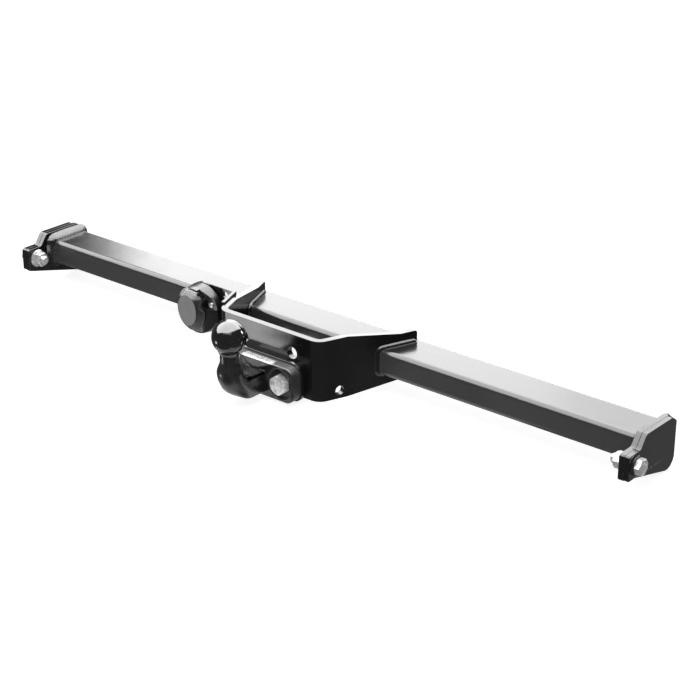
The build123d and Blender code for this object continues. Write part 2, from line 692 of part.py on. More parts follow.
screws, screw_nuts = [], []
screw_floor = housing_front + SCREW_RECESS
screw_length = plate_back - screw_floor + NUT_HEIGHT + SCREW_SPARE
for k in range(SCREW_COUNT):
    angle = math.radians(SCREW_START_ANGLE) + 2 * math.pi * k / SCREW_COUNT
    spot = (
        socket_at[0] + SCREW_CIRCLE / 2 * math.cos(angle),
        socket_at[1] + SCREW_CIRCLE / 2 * math.sin(angle),
    )
    with BuildPart() as screw:
        with BuildSketch(at(facing_front(screw_floor), *spot)):
            Circle(SCREW_HEAD_DIAMETER / 2)
        extrude(amount=SCREW_HEAD)
        with BuildSketch(at(facing_front(screw_floor), *spot)):
            Circle(SCREW_DIAMETER / 2)
        extrude(amount=-screw_length)
    screws.append(screw.part)
    rear = Plane(origin=(spot[0], plate_back, spot[1]), x_dir=(-1, 0, 0), z_dir=(0, 1, 0))
    screw_nuts.append(hex_nut(rear, SCREW_DIAMETER, NUT_FLATS, NUT_HEIGHT))
group("socket_screws", screws)
group("socket_screw_nuts", screw_nuts)

with BuildPart() as cable_grommet:
    with BuildSketch(facing_front(plate_back + GROMMET_LENGTH)):
        with Locations(socket_at):
            Circle(GROMMET_DIAMETER / 2 - GROMMET_LIP)
    extrude(amount=GROMMET_LENGTH, taper=-GROMMET_TAPER)
    with BuildSketch(facing_front(plate_back)):
        with Locations(socket_at):
            Circle(GROMMET_DIAMETER / 2 - THREAD_CLEARANCE)
    extrude(amount=SOCKET_PLATE + GASKET_THICKNESS)
    with BuildSketch(facing_front(plate_back + GROMMET_LENGTH)):
        with Locations(socket_at):
            Circle(CABLE_BORE / 2)
    extrude(amount=GROMMET_LENGTH + SOCKET_PLATE + GASKET_THICKNESS, mode=Mode.SUBTRACT)
write(cable_grommet.part, "cable_grommet")


# Lid: tapered cap over the mouth, notched at the top round the hinge ears and rounded there to swing
lid_rear = housing_front - LID_GAP
lid_front = lid_rear - LID_DEPTH
lid_swing = HINGE_FORWARD - LID_GAP
notch_half = ear_outer + HINGE_PLAY
notch_bottom = hinge_z - knuckle_radius - HINGE_ROOM
with BuildPart() as socket_lid:
    with BuildSketch(facing_front(lid_rear)):
        with Locations((lid_x, socket_at[1])):
            Ellipse(LID_WIDTH / 2, LID_HEIGHT / 2)
    with BuildSketch(facing_front(lid_front)):
        with Locations((lid_x, socket_at[1] + LID_FACE_RISE)):
            Ellipse(LID_FACE_WIDTH / 2, LID_FACE_HEIGHT / 2)
    loft()
    with BuildSketch(facing_front(lid_rear)):
        with Locations(mouth_at):
            Circle(MOUTH_DIAMETER / 2 + SEAL_WIDTH / 2)
    extrude(amount=SEAL_DEPTH, mode=Mode.SUBTRACT)
    with BuildSketch(facing_front(lid_rear)):
        with Locations(mouth_at):
            Circle(MOUTH_DIAMETER / 2 - SEAL_WIDTH / 2)
    extrude(amount=LID_RECESS, mode=Mode.SUBTRACT)
    with BuildSketch(facing_front(lid_rear)):
        with Locations((SOCKET_X, notch_bottom)):
            Rectangle(2 * notch_half, LID_HEIGHT, align=(Align.CENTER, Align.MIN))
    extrude(amount=LID_DEPTH, mode=Mode.SUBTRACT)
    with BuildSketch(Plane.YZ.offset(lid_x - LID_WIDTH / 2)):
        with Locations((hinge_y, hinge_z)):
            Rectangle(lid_swing, LID_HEIGHT, align=(Align.MIN, Align.MIN))
            Circle(lid_swing, mode=Mode.SUBTRACT)
    extrude(amount=LID_WIDTH, mode=Mode.SUBTRACT)
    with BuildSketch(Plane.YZ.offset(SOCKET_X - ear_inner + HINGE_PLAY)):
        with Locations((hinge_y, notch_bottom - HINGE_ROOM)):
            Rectangle(KNUCKLE_DIAMETER, hinge_z - notch_bottom + HINGE_ROOM, align=(Align.CENTER, Align.MIN))
        with Locations((hinge_y, hinge_z)):
            Circle(knuckle_radius)
            Circle(PIN_DIAMETER / 2 + PIN_CLEARANCE, mode=Mode.SUBTRACT)
    extrude(amount=LUG_WIDTH)
write(socket_lid.part, "socket_lid")

with BuildPart() as lid_seal:
    with BuildSketch(facing_front(lid_rear + SEAL_GAP)):
        with Locations(mouth_at):
            Circle(MOUTH_DIAMETER / 2 + SEAL_WIDTH / 2 - THREAD_CLEARANCE)
            Circle(MOUTH_DIAMETER / 2 - SEAL_WIDTH / 2, mode=Mode.SUBTRACT)
    extrude(amount=SEAL_DEPTH + SEAL_GAP)
write(lid_seal.part, "lid_seal")

with BuildPart() as hinge_pin:
    with BuildSketch(Plane.YZ.offset(SOCKET_X - ear_outer)):
        with Locations((hinge_y, hinge_z)):
            Circle(PIN_DIAMETER / 2)
    extrude(amount=2 * ear_outer)
write(hinge_pin.part, "hinge_pin")

spring_from = SOCKET_X - ear_inner + 2 * HINGE_PLAY + LUG_WIDTH
spring_to = SOCKET_X + ear_inner - HINGE_PLAY
spring_inner = PIN_DIAMETER / 2 + 4 * PIN_CLEARANCE
with BuildPart() as lid_spring:
    with BuildSketch(Plane.YZ.offset(spring_from)):
        with Locations((hinge_y, hinge_z)):
            Circle(spring_inner + SPRING_WIRE)
            Circle(spring_inner, mode=Mode.SUBTRACT)
    extrude(amount=spring_to - spring_from)
write(lid_spring.part, "lid_spring")
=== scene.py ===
"""Looks of a fixed flange-ball tow bar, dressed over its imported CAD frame.

The tow bar is powder coated black. Its ball is forged, its fasteners are zinc plated and the
socket at its left cheek is moulded in black plastic. Every size here is in metres.
"""

import json
import logging
import math
from contextlib import contextmanager
from dataclasses import dataclass, field
from enum import Enum
from typing import Any, Iterator, Optional, Sequence, Union

import bmesh
import bpy
import numpy as np
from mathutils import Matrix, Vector

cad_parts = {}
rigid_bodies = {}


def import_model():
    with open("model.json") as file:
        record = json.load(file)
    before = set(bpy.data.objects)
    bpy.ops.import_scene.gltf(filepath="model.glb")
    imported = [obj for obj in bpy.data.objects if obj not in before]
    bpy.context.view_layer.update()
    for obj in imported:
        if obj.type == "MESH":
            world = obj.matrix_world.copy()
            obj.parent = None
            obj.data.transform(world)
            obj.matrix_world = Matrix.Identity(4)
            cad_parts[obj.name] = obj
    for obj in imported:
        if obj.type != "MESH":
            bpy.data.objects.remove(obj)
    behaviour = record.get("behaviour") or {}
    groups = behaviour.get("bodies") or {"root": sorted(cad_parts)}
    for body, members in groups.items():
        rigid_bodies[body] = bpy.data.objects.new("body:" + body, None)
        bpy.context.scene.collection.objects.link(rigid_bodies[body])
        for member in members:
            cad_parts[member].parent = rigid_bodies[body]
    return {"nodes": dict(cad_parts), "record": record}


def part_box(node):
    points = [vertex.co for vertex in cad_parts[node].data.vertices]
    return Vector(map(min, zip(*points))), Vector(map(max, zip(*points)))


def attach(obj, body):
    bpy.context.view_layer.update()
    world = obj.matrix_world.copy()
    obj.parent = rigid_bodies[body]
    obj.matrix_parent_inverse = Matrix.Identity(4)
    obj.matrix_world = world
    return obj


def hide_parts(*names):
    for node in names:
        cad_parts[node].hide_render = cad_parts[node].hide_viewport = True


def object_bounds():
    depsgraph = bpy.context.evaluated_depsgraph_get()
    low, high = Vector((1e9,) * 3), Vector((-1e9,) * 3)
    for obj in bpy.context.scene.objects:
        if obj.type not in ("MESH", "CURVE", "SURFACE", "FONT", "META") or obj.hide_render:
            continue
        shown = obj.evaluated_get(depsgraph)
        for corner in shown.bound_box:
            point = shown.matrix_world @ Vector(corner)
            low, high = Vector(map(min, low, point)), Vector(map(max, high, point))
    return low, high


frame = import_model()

LOG = logging.getLogger("tow_bar")
MM = 0.001
CAD_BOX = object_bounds()
Pair = tuple[float, float]
Triple = tuple[float, float, float]
Value = Union["Ink", float]
ACROSS, REARWARD, FORWARD, UP = (1.0, 0.0, 0.0), (0.0, 1.0, 0.0), (0.0, -1.0, 0.0), (0.0, 0.0, 1.0)
EVEN = (1.0, 1.0, 1.0)
SPLAY = math.radians(20.8)
CHAMFER = math.tan(math.radians(30))


# Shader desk: nodes, and sockets that can be added and multiplied


class Ink:
    """One output of a shader node that can be added, scaled and shaped like a number."""

    def __init__(self, desk: "Desk", socket: Optional[bpy.types.NodeSocket]) -> None:
        """Keeps the socket and the desk it belongs to."""
        self.desk, self.socket = desk, socket

    def __add__(self, other: Value) -> "Ink":
        """Sum of two values."""
        return self.desk.math("ADD", self, other)

    def __sub__(self, other: Value) -> "Ink":
        """Difference of two values."""
        return self.desk.math("SUBTRACT", self, other)

    def __rsub__(self, other: float) -> "Ink":
        """A number less this value."""
        return self.desk.math("SUBTRACT", other, self)

    def __mul__(self, other: Value) -> "Ink":
        """Product of two values."""
        return self.desk.math("MULTIPLY", self, other)

    def __truediv__(self, other: Value) -> "Ink":
        """Quotient of two values."""
        return self.desk.math("DIVIDE", self, other)

    def __rtruediv__(self, other: float) -> "Ink":
        """A number over this value."""
        return self.desk.math("DIVIDE", other, self)

    __radd__ = __add__
    __rmul__ = __mul__

    def ramp(self, low: float, high: float, start: float = 0.0, end: float = 1.0) -> "Ink":
        """Smooth step of this value.

        Args:
            low: Value at which the step begins.
            high: Value at which it ends.
            start: Result up to the beginning.
            end: Result from the end on.

        Returns:
            The stepped value.
        """
        inputs = {0: self, 1: low, 2: high, 3: start, 4: end}
        return self.desk.node("ShaderNodeMapRange", inputs, interpolation_type="SMOOTHSTEP")


class Desk:
    """A new material's node tree, with one method that makes its nodes."""

    def __init__(self, name: str) -> None:
        """Starts an empty material.

        Args:
            name: Its name.
        """
        self.material = bpy.data.materials.new(name)
        self.material.use_nodes = True
        self.tree = self.material.node_tree
        self.tree.nodes.clear()

    def node(self, kind: str, inputs: dict[Any, Any], out: Union[int, str] = 0, **settings: Any) -> Ink:
        """Makes a node, sets or links its inputs and returns one of its outputs.

        Args:
            kind: Blender's type name of the node.
            inputs: Input name or number to a plain value or an Ink.
            out: Name or number of the output to return.
            settings: The node's own options.

        Returns:
            The chosen output.
        """
        made = self.tree.nodes.new(kind)
        for key, value in settings.items():
            setattr(made, key, value)
        for key, value in inputs.items():
            if isinstance(value, Ink):
                self.tree.links.new(value.socket, made.inputs[key])
            else:
                made.inputs[key].default_value = value
        return Ink(self, made.outputs[out] if made.outputs else None)

    def math(self, operation: str, *values: Value) -> Ink:
        """Feeds values into a Math node of that operation and returns its result."""
        return self.node("ShaderNodeMath", dict(enumerate(values)), operation=operation)

    def place(self, stretch: Triple = EVEN) -> Ink:
        """Object coordinates, stretched along the axes by those factors."""
        here = self.node("ShaderNodeTexCoord", {}, "Object")
        return self.node("ShaderNodeMapping", {"Vector": here, "Scale": stretch})

    def axes(self) -> tuple[Ink, ...]:
        """X, Y and Z of the object coordinates."""
        here = self.place()
        return tuple(self.node("ShaderNodeSeparateXYZ", {0: here}, axis) for axis in range(3))

    def noise(self, scale: float, detail: float = 2.0, rough: float = 0.5, stretch: Triple = EVEN) -> Ink:
        """Cloudy noise between 0 and 1.

        Args:
            scale: Lumps per metre.
            detail: Octaves of finer noise.
            rough: Strength of the finer octaves.
            stretch: Factors on the coordinates, which draw the lumps out.

        Returns:
            The noise.
        """
        inputs = {"Vector": self.place(stretch), "Scale": scale, "Detail": detail, "Roughness": rough}
        return self.node("ShaderNodeTexNoise", inputs, "Fac")

    def edge_wear_and_highlight(self, full: float = 0.62) -> Ink:
        """Mask of the outer edges, for edge wear and a painted edge highlight: 0 on flats and in corners, 1 where
        the pointiness is full.
        """
        return self.node("ShaderNodeNewGeometry", {}, "Pointiness").ramp(0.52, full)

    def blend(self, share: Value, first: Any, second: Any) -> Ink:
        """Mixes two colours.

        Args:
            share: How much of the second colour shows.
            first: Colour at share 0: an Ink, a grey number or three numbers.
            second: Colour at share 1, given the same way.

        Returns:
            The mixed colour.
        """
        inputs = {0: share}
        for key, colour in ((6, first), (7, second)):
            plain = (colour,) * 3 if isinstance(colour, (int, float)) else colour
            inputs[key] = plain if isinstance(plain, Ink) else (*plain, 1.0)
        return self.node("ShaderNodeMix", inputs, 2, data_type="RGBA")

    def bump(self, height: Ink, distance: float, strength: float, under: Optional[Ink] = None) -> Ink:
        """Turns a height into a normal.

        Args:
            height: The relief, from 0 to 1.
            distance: How high 1 stands, in metres.
            strength: Share of the relief that is used.
            under: A normal that this one is added to.

        Returns:
            The bent normal.
        """
        inputs: dict[Any, Any] = {"Height": height, "Distance": distance, "Strength": strength}
        if under is not None:
            inputs["Normal"] = under
        return self.node("ShaderNodeBump", inputs)

    def finish(self, varying: dict[str, Any], fixed: dict[str, Any]) -> bpy.types.Material:
        """Joins everything into a Principled shader.

        Args:
            varying: Inputs that change over the surface.
            fixed: Inputs set to one value.

        Returns:
            The finished material.
        """
        shader = self.node("ShaderNodeBsdfPrincipled", {**fixed, **varying})
        self.node("ShaderNodeOutputMaterial", {"Surface": shader})
        return self.material


# Finishes


@dataclass(frozen=True)
class Finish:
    """A surface whose tone and gloss drift with a cloudy noise, over a fine grain.

    Attributes:
        name: The material's name.
        cloud: Scale, detail, roughness and stretch of the drifting noise.
        tones: The two colours that it blends.
        gloss: The two roughnesses that it blends.
        tone_span: Noise at which the blend of the colours starts and ends.
        gloss_span: The same for the roughness.
        grain: Scale, detail, roughness and stretch of the fine noise, or nothing.
        relief: Height and strength of the grain's relief.
        haze: Roughness that the grain adds.
        edge_wear_and_highlight: Share and tone of the lighter edges, partly edge wear and partly painted edge
            highlight.
        fixed: The shader's inputs that are set to one number.
    """

    name: str
    cloud: tuple[Any, ...]
    tones: tuple[Any, Any]
    gloss: Pair
    tone_span: Pair = (0.3, 0.7)
    gloss_span: Pair = (0.3, 0.7)
    grain: tuple[Any, ...] = ()
    relief: Pair = (0.00008, 0.6)
    haze: float = 0.0
    edge_wear_and_highlight: Pair = (0.0, 0.3)
    fixed: dict[str, float] = field(default_factory=dict)

    def make(self) -> bpy.types.Material:
        """Builds the material.

        Returns:
            The material.
        """
        desk = Desk(self.name)
        cloud = desk.noise(*self.cloud)
        base = desk.blend(cloud.ramp(*self.tone_span), *self.tones)
        # Lighter edges: edge wear and a painted edge highlight.
        base = desk.blend(desk.edge_wear_and_highlight() * self.edge_wear_and_highlight[0], base, self.edge_wear_and_highlight[1])
        varying = {"Base Color": base, "Roughness": cloud.ramp(*self.gloss_span, *self.gloss)}
        if self.grain:
            grain = desk.noise(*self.grain)
            varying["Roughness"] += grain * self.haze
            varying["Normal"] = desk.bump(grain, *self.relief)
        return desk.finish(varying, self.fixed)


def zinc(name: str, tone: float, rough: float, metal: float) -> Finish:
    """Zinc plate with a faint cloudy tarnish and fine scratches.

    Args:
        name: The material's name.
        tone: Grey of the clean plate.
        rough: Its middle roughness.
        metal: How metallic it looks.

    Returns:
        The finish.
    """
    tones = ((tone, tone, tone * 1.02), (0.45, 0.45, 0.46))
    return Finish(name, (180.0, 4.0, 0.6), tones, (rough * 0.7, rough * 1.5), (0.3, 0.75), (0.3, 0.8),
                  (1600.0, 2.0, 0.5, (1.0, 0.12, 1.0)), (0.00003, 0.5), 0.06, fixed={"Metallic": metal})


@dataclass(frozen=True)
class PowderCoat:
    """Black powder coat: dark body, glossy skin with a fine orange peel and a little dust."""

    name: str
    tone: float = 0.006
    rough: float = 0.16
    peel: float = 0.00004
    dust: float = 0.02

    def make(self) -> bpy.types.Material:
        """Builds the material.

        Returns:
            The material.
        """
        desk = Desk(self.name)
        broad = desk.noise(14.0, 3.0)
        speck = desk.noise(260.0, 4.0, 0.7).ramp(0.62, 0.78)
        base = desk.blend(broad.ramp(0.3, 0.7), self.tone * 0.7, self.tone * 1.4)
        base = desk.blend(speck * self.dust, base, 0.35)
        # Lighter edges: edge wear and a painted edge highlight.
        base = desk.blend(desk.edge_wear_and_highlight() * 0.12, base, 0.4)
        rough = broad.ramp(0.25, 0.75, self.rough * 0.8, self.rough * 1.25) + speck * 0.1
        relief = desk.bump(desk.noise(900.0, 2.0, 0.6), self.peel, 0.5)
        relief = desk.bump(desk.noise(160.0, 2.0), self.peel * 3, 0.35, relief)
        return desk.finish({"Base Color": base, "Roughness": rough, "Normal": relief}, {"IOR": 1.55})


@dataclass(frozen=True)
class ForgedCoat:
    """Black coat over a forging: glossy on the ball, rough on the flange, bare on the flange's top."""

    name: str
    tone: float = 0.006
    ball_radius: float = 0.025
    bare_half: float = 0.030
    bare_from: float = -0.0542
    bare_front: float = 0.0535
    bare_rear: float = 0.069

    def bare(self, desk: Desk, x: Ink, y: Ink, z: Ink) -> Ink:
        """Where the parting line was ground off: the middle of the flange's top face.

        Args:
            desk: The material's nodes.
            x: Object coordinate along the bar.
            y: Object coordinate towards the rear.
            z: Object coordinate upwards.

        Returns:
            Mask that is 1 on the ground strip.
        """
        ragged = desk.noise(260.0, 2.0) * 0.004
        side = 1 - (desk.math("ABSOLUTE", x) + ragged).ramp(self.bare_half, self.bare_half + 0.002)
        high = z.ramp(self.bare_from, self.bare_from + 0.0012)
        front = y.ramp(self.bare_front, self.bare_front + 0.0006)
        rear = 1 - (y + ragged).ramp(self.bare_rear, self.bare_rear + 0.001)
        return side * high * front * rear

    def make(self) -> bpy.types.Material:
        """Builds the material: painted shade keeps the arm's top matt and black, a near-black base under a
        metallic mask.

        Returns:
            The material.
        """
        desk = Desk(self.name)
        x, y, z = desk.axes()
        far = desk.node("ShaderNodeVectorMath", {0: desk.place()}, "Value", operation="LENGTH")
        forged = far.ramp(self.ball_radius + 0.0005, self.ball_radius + 0.012)
        cast, bare = y.ramp(0.048, 0.060), self.bare(desk, x, y, z)
        # Painted shade: the arm's top between the neck and the flange is darkened to near black.
        painted_shade = y.ramp(0.010, 0.020) * (1 - y.ramp(0.0485, 0.0505)) * z.ramp(-0.0700, -0.0672)
        grain, pits = desk.noise(330.0, 5.0, 0.65), desk.noise(1100.0, 3.0, 0.6)
        scale = desk.noise(90.0, 3.0, 0.6)
        glints = desk.noise(900.0, 3.0, 0.6).ramp(0.36, 0.60)
        base = desk.blend(scale.ramp(0.35, 0.7), self.tone * 0.6, self.tone * 1.8)
        # Lighter edges away from the ball: edge wear and a painted edge highlight.
        base = desk.blend(desk.edge_wear_and_highlight(0.6) * forged * 0.2, base, 0.2)
        # Painted shade: near-black base colour on the arm's top.
        base = desk.blend(painted_shade, base, 0.002)
        base = desk.blend(bare * glints, base, 0.8)
        rough = forged.ramp(0.0, 1.0, 0.12, 0.25) + cast * (grain * 0.14 + 0.12) + grain * forged * 0.06
        rough = desk.math("MAXIMUM", rough - bare * 0.1, 0.08)
        relief = desk.bump(grain * forged, 0.0003, 0.3)
        relief = desk.bump(pits * cast, 0.0005, 0.6, relief)
        relief = desk.bump(scale * cast, 0.0012, 0.5, relief)
        relief = desk.bump(desk.noise(900.0, 3.0, 0.7) * bare, 0.0008, 0.8, relief)
        # Metallic also carries the painted shade, which keeps that near-black base from showing any diffuse light.
        varying = {"Base Color": base, "Roughness": rough, "Metallic": bare * glints + painted_shade, "Normal": relief}
        return desk.finish(varying, {"IOR": 1.8})


@dataclass(frozen=True)
class LidPlastic:
    """The lid's plastic: a finely grained, paler face with a lighter rim on a dark, smoother body, and a painted
    highlight on its top.
    """

    name: str
    body: float = 0.02
    face: float = 0.21
    # Tone of the painted highlight on the lid's top.
    crown: float = 0.63
    middle: Pair = (-0.1905, -0.046)
    half: Pair = (0.0195, 0.026)
    front: float = 0.1084

    def make(self) -> bpy.types.Material:
        """Builds the material.

        The face is an ellipse: its mask steps down where (x / a) ^ 2 + (z / b) ^ 2 passes 1.

        Returns:
            The material.
        """
        desk = Desk(self.name)
        x, y, z = desk.axes()
        along, up = ((axis - at) / half for axis, at, half in zip((x, z), self.middle, self.half))
        out = desk.math("POWER", along, 2.0) + desk.math("POWER", up, 2.0)
        inside = (1 - out.ramp(0.86, 0.96)) * (1 - y.ramp(self.front, self.front + 0.0008))
        rim = out.ramp(0.80, 0.88) * inside
        grit, cloud = desk.noise(1500.0, 3.0, 0.6), desk.noise(80.0, 3.0)
        base = desk.blend(cloud.ramp(0.3, 0.7), self.body * 0.85, self.body * 1.15)
        base = desk.blend(inside * cloud.ramp(0.2, 0.8, 0.85, 1.0), base, self.face)
        # Painted highlight: the lid's top outside the face is made much paler.
        crown = z.ramp(-0.027, -0.022) * (1 - y.ramp(0.1160, 0.1172))
        base = desk.blend(crown * (1 - inside), base, self.crown)
        # Lighter face rim and outer edges: edge wear and a painted edge highlight.
        base = desk.blend((rim + desk.edge_wear_and_highlight()) * 0.2, base, 0.4)
        rough = cloud.ramp(0.3, 0.7, 0.26, 0.31) + inside * 0.18 + grit * 0.05
        relief = desk.bump(grit, 0.00006, 0.6)
        return desk.finish({"Base Color": base, "Roughness": rough, "Normal": relief}, {"IOR": 1.6})


class Slot(Enum):
    """The record's material slots that pieces take their finish from."""

    PAINT = "black_paint"
    WELD = "weld"
    FORGED = "forged_black"
    ZINC = "zinc"
    PLASTIC = "black_plastic"
    RUBBER = "rubber"
    BRASS = "brass"


class Palette:
    """One finished material for each slot, and the few that single pieces get instead."""

    def __init__(self) -> None:
        """Builds all the materials."""
        brass = ((0.78, 0.57, 0.26), (0.5, 0.36, 0.17))
        finishes = {
            Slot.PAINT: PowderCoat("powder_coat"),
            Slot.WELD: Finish("weld_coat", (420.0, 3.0, 0.6), (0.0036, 0.012), (0.14, 0.3), (0.0, 1.0),
                              grain=(420.0, 3.0, 0.6), relief=(0.0002, 0.35), fixed={"IOR": 1.7}),
            Slot.FORGED: ForgedCoat("forged_coat"),
            Slot.ZINC: zinc("zinc_plate", 0.78, 0.28, 0.55),
            # The moulded black's lighter edges are edge wear and a painted edge highlight.
            Slot.PLASTIC: Finish("moulded_black", (60.0, 3.0), (0.0068, 0.0092), (0.225, 0.2875),
                                 grain=(1300.0, 3.0, 0.6), relief=(0.00005, 0.6), haze=0.06,
                                 edge_wear_and_highlight=(0.15, 0.3), fixed={"IOR": 1.6}),
            Slot.RUBBER: Finish("black_rubber", (220.0, 4.0, 0.7), (0.005, 0.012), (0.55, 0.75), (0.4, 0.8),
                                grain=(1500.0, 2.0)),
            Slot.BRASS: Finish("turned_brass", (900.0, 3.0), brass, (0.22, 0.4), fixed={"Metallic": 1.0}),
        }
        self.materials = {slot: finish.make() for slot, finish in finishes.items()}
        self.lid_plastic = LidPlastic("moulded_lid").make()
        self.dark_steel = Finish("dark_steel", (1800.0, 2.0, 0.5, (0.15, 1.0, 1.0)), (0.07, 0.13), (0.35, 0.5),
                                 fixed={"Metallic": 1.0}).make()
        # Painted light: a paler, less metallic copy of the zinc plate, for the flange bolts that catch more light.
        self.pale_zinc = zinc("pale_zinc", 0.97, 0.34, 0.12).make()

    def dress(self, piece: bpy.types.Object, slot: Slot, other: Optional[bpy.types.Material] = None) -> None:
        """Puts a slot's material on a piece.

        Args:
            piece: A mesh object, new or carried over.
            slot: The slot whose material it gets.
            other: A material that it gets in place of the slot's usual one.
        """
        material = other or self.materials[slot]
        if not piece.data.materials:
            piece.data.materials.append(material)
        for place in piece.material_slots:
            place.material = material


# Surfaces


def placed(name: str, data: Any) -> bpy.types.Object:
    """Makes an object at the origin and links it to the scene."""
    item = bpy.data.objects.new(name, data)
    bpy.context.scene.collection.objects.link(item)
    return item


@contextmanager
def editing(mesh: bpy.types.Mesh) -> Iterator[bmesh.types.BMesh]:
    """Opens a mesh for editing and writes it back at the end.

    Args:
        mesh: The mesh to edit.

    Yields:
        The open copy.
    """
    work = bmesh.new()
    work.from_mesh(mesh)
    yield work
    work.to_mesh(mesh)
    work.free()


def ring(columns: int) -> np.ndarray:
    """Angles of a ring's points, as one row."""
    return np.linspace(0, 2 * np.pi, columns, endpoint=False)[None, :]


def smooth_step(value: np.ndarray, low: float, high: float) -> np.ndarray:
    """Smooth step: 0 up to the low limit, 1 from the high one and a cubic without kinks between."""
    share = np.clip((value - low) / (high - low), 0, 1)
    return share * share * (3 - 2 * share)


def soft_least(first: np.ndarray, second: np.ndarray, edge: float) -> np.ndarray:
    """The smaller of two lengths, rounded where they cross: -r * log(exp(-a / r) + exp(-b / r))."""
    return -edge * np.logaddexp(-first / edge, -second / edge)


def soft_most(first: np.ndarray, second: np.ndarray, edge: float) -> np.ndarray:
    """The larger of two lengths, rounded where they cross: r * log(exp(a / r) + exp(b / r))."""
    return edge * np.logaddexp(first / edge, second / edge)


def walk_round(half: Pair, radius: float, first: Pair, share: np.ndarray) -> tuple[np.ndarray, ...]:
    """A walk round a rectangle with rounded corners, leftwards as seen along each side's normal.

    Straight runs and quarter circles follow each other by their lengths. A quarter's points lie at
    the corner's middle plus r times its turning normal, cos(t) * n + sin(t) * h.

    Args:
        half: Half sizes of the rectangle.
        radius: Radius of its corners.
        first: Normal of the side that the walk starts with.
        share: Share of the whole way at each point.

    Returns:
        Points, outward normals and the distance walked, one row each.
    """
    a, b = first
    sides = np.array([(a, b), (-b, a), (-a, -b), (b, -a)], float)
    heads = np.roll(sides, -1, 0)
    inner = np.array(half) - radius
    lengths = np.stack([2 * np.abs(heads @ inner), np.full(4, np.pi / 2 * radius)], -1).ravel()
    ends = np.cumsum(lengths)
    walked = share * ends[-1]
    part = np.clip(np.searchsorted(ends, walked, side="right"), 0, 7)
    along = (walked - np.concatenate([[0.0], ends])[part])[:, None]
    n, h, straight = sides[part // 2], heads[part // 2], (part % 2 == 0)[:, None]
    turn = np.where(straight, 0.0, along / radius)
    normal = n * np.cos(turn) + h * np.sin(turn)
    spot = n * inner + np.where(straight, h * along - h * inner, h * inner) + normal * radius
    return spot, normal, walked


@dataclass(frozen=True)
class Seat:
    """A place where a turned piece sits: an origin, the way out of it and one way across."""

    origin: Triple
    out: Triple
    across: Triple = ACROSS

    def put(self, x: np.ndarray, y: np.ndarray, w: np.ndarray) -> np.ndarray:
        """Turns local coordinates into the frame's.

        Args:
            x: Distances along the across direction.
            y: Distances square to both directions.
            w: Distances along the way out.

        Returns:
            Points with the shape of the three arrays broadcast together, by 3.
        """
        out, across = np.array(self.out, float), np.array(self.across, float)
        parts = x[..., None] * across + y[..., None] * np.cross(out, across) + w[..., None] * out
        return parts + np.array(self.origin, float)


class Shell:
    """Points and faces of one piece, gathered from several closed surfaces."""

    def __init__(self) -> None:
        """Starts empty."""
        self.points: list[np.ndarray] = []
        self.faces: list[list[int]] = []
        self.count = 0

    def add_rings(self, grid: np.ndarray, wrap: bool = False) -> "Shell":
        """Adds a surface of rings, closed at both ends.

        Vertex k * columns + j is joined to its neighbours k + 1 and j + 1, each taken round at the end.

        Args:
            grid: Points as rows by columns by 3; every row is a closed ring.
            wrap: Whether the last ring joins the first; otherwise each end gets a flat face.

        Returns:
            The shell itself.
        """
        rows, columns = grid.shape[:2]
        k, j = np.arange(rows if wrap else rows - 1)[:, None], np.arange(columns)[None, :]
        below, right = (k + 1) % rows, (j + 1) % columns
        corners = (k * columns + j, k * columns + right, below * columns + right, below * columns + j)
        self.faces += (np.stack(corners, -1).reshape(-1, 4) + self.count).tolist()
        if not wrap:
            first, last = j[0, ::-1] + self.count, j[0] + (rows - 1) * columns + self.count
            self.faces += [first.tolist(), last.tolist()]
        self.points.append(grid.reshape(-1, 3))
        self.count += rows * columns
        return self

    def turn(self, seat: Seat, rows: Sequence[tuple[Any, Any]], columns: int = 48, wrap: bool = False) -> "Shell":
        """Adds a turned surface.

        Args:
            seat: Its origin and axis.
            rows: Radius and height of each ring, or of several rings as columns or whole grids.
            columns: Points on each ring.
            wrap: Whether the section closes on itself, as a tube's does.

        Returns:
            The shell itself.
        """
        angle = ring(columns)
        parts = [np.broadcast_arrays(np.atleast_2d(r), np.atleast_2d(w), angle) for r, w in rows]
        radius, height, angles = (np.vstack(part) for part in zip(*parts))
        return self.add_rings(seat.put(radius * np.cos(angles), radius * np.sin(angles), height), wrap)

    def box(self, low: Triple, high: Triple) -> "Shell":
        """Adds a box between two corners, as two rings along X."""
        y, z = np.array([low[1], high[1], high[1], low[1]]), np.array([low[2], low[2], high[2], high[2]])
        return self.add_rings(np.stack([np.stack([np.full(4, x), y, z], -1) for x in (low[0], high[0])]))

    def build(self, name: str, sharp: float = 35.0) -> bpy.types.Object:
        """Makes the mesh object, with its poles merged and its faces outward.

        Args:
            name: The object's name.
            sharp: Angle in degrees past which an edge stays sharp.

        Returns:
            The object, at the origin.
        """
        mesh = bpy.data.meshes.new(name)
        mesh.from_pydata(np.vstack(self.points), [], self.faces)
        with editing(mesh) as work:
            bmesh.ops.remove_doubles(work, verts=work.verts, dist=2e-7)
            bmesh.ops.dissolve_degenerate(work, edges=work.edges, dist=1e-7)
            bmesh.ops.recalc_face_normals(work, faces=work.faces)
        mesh.shade_smooth()
        mesh.set_sharp_from_angle(angle=math.radians(sharp))
        return placed(name, mesh)


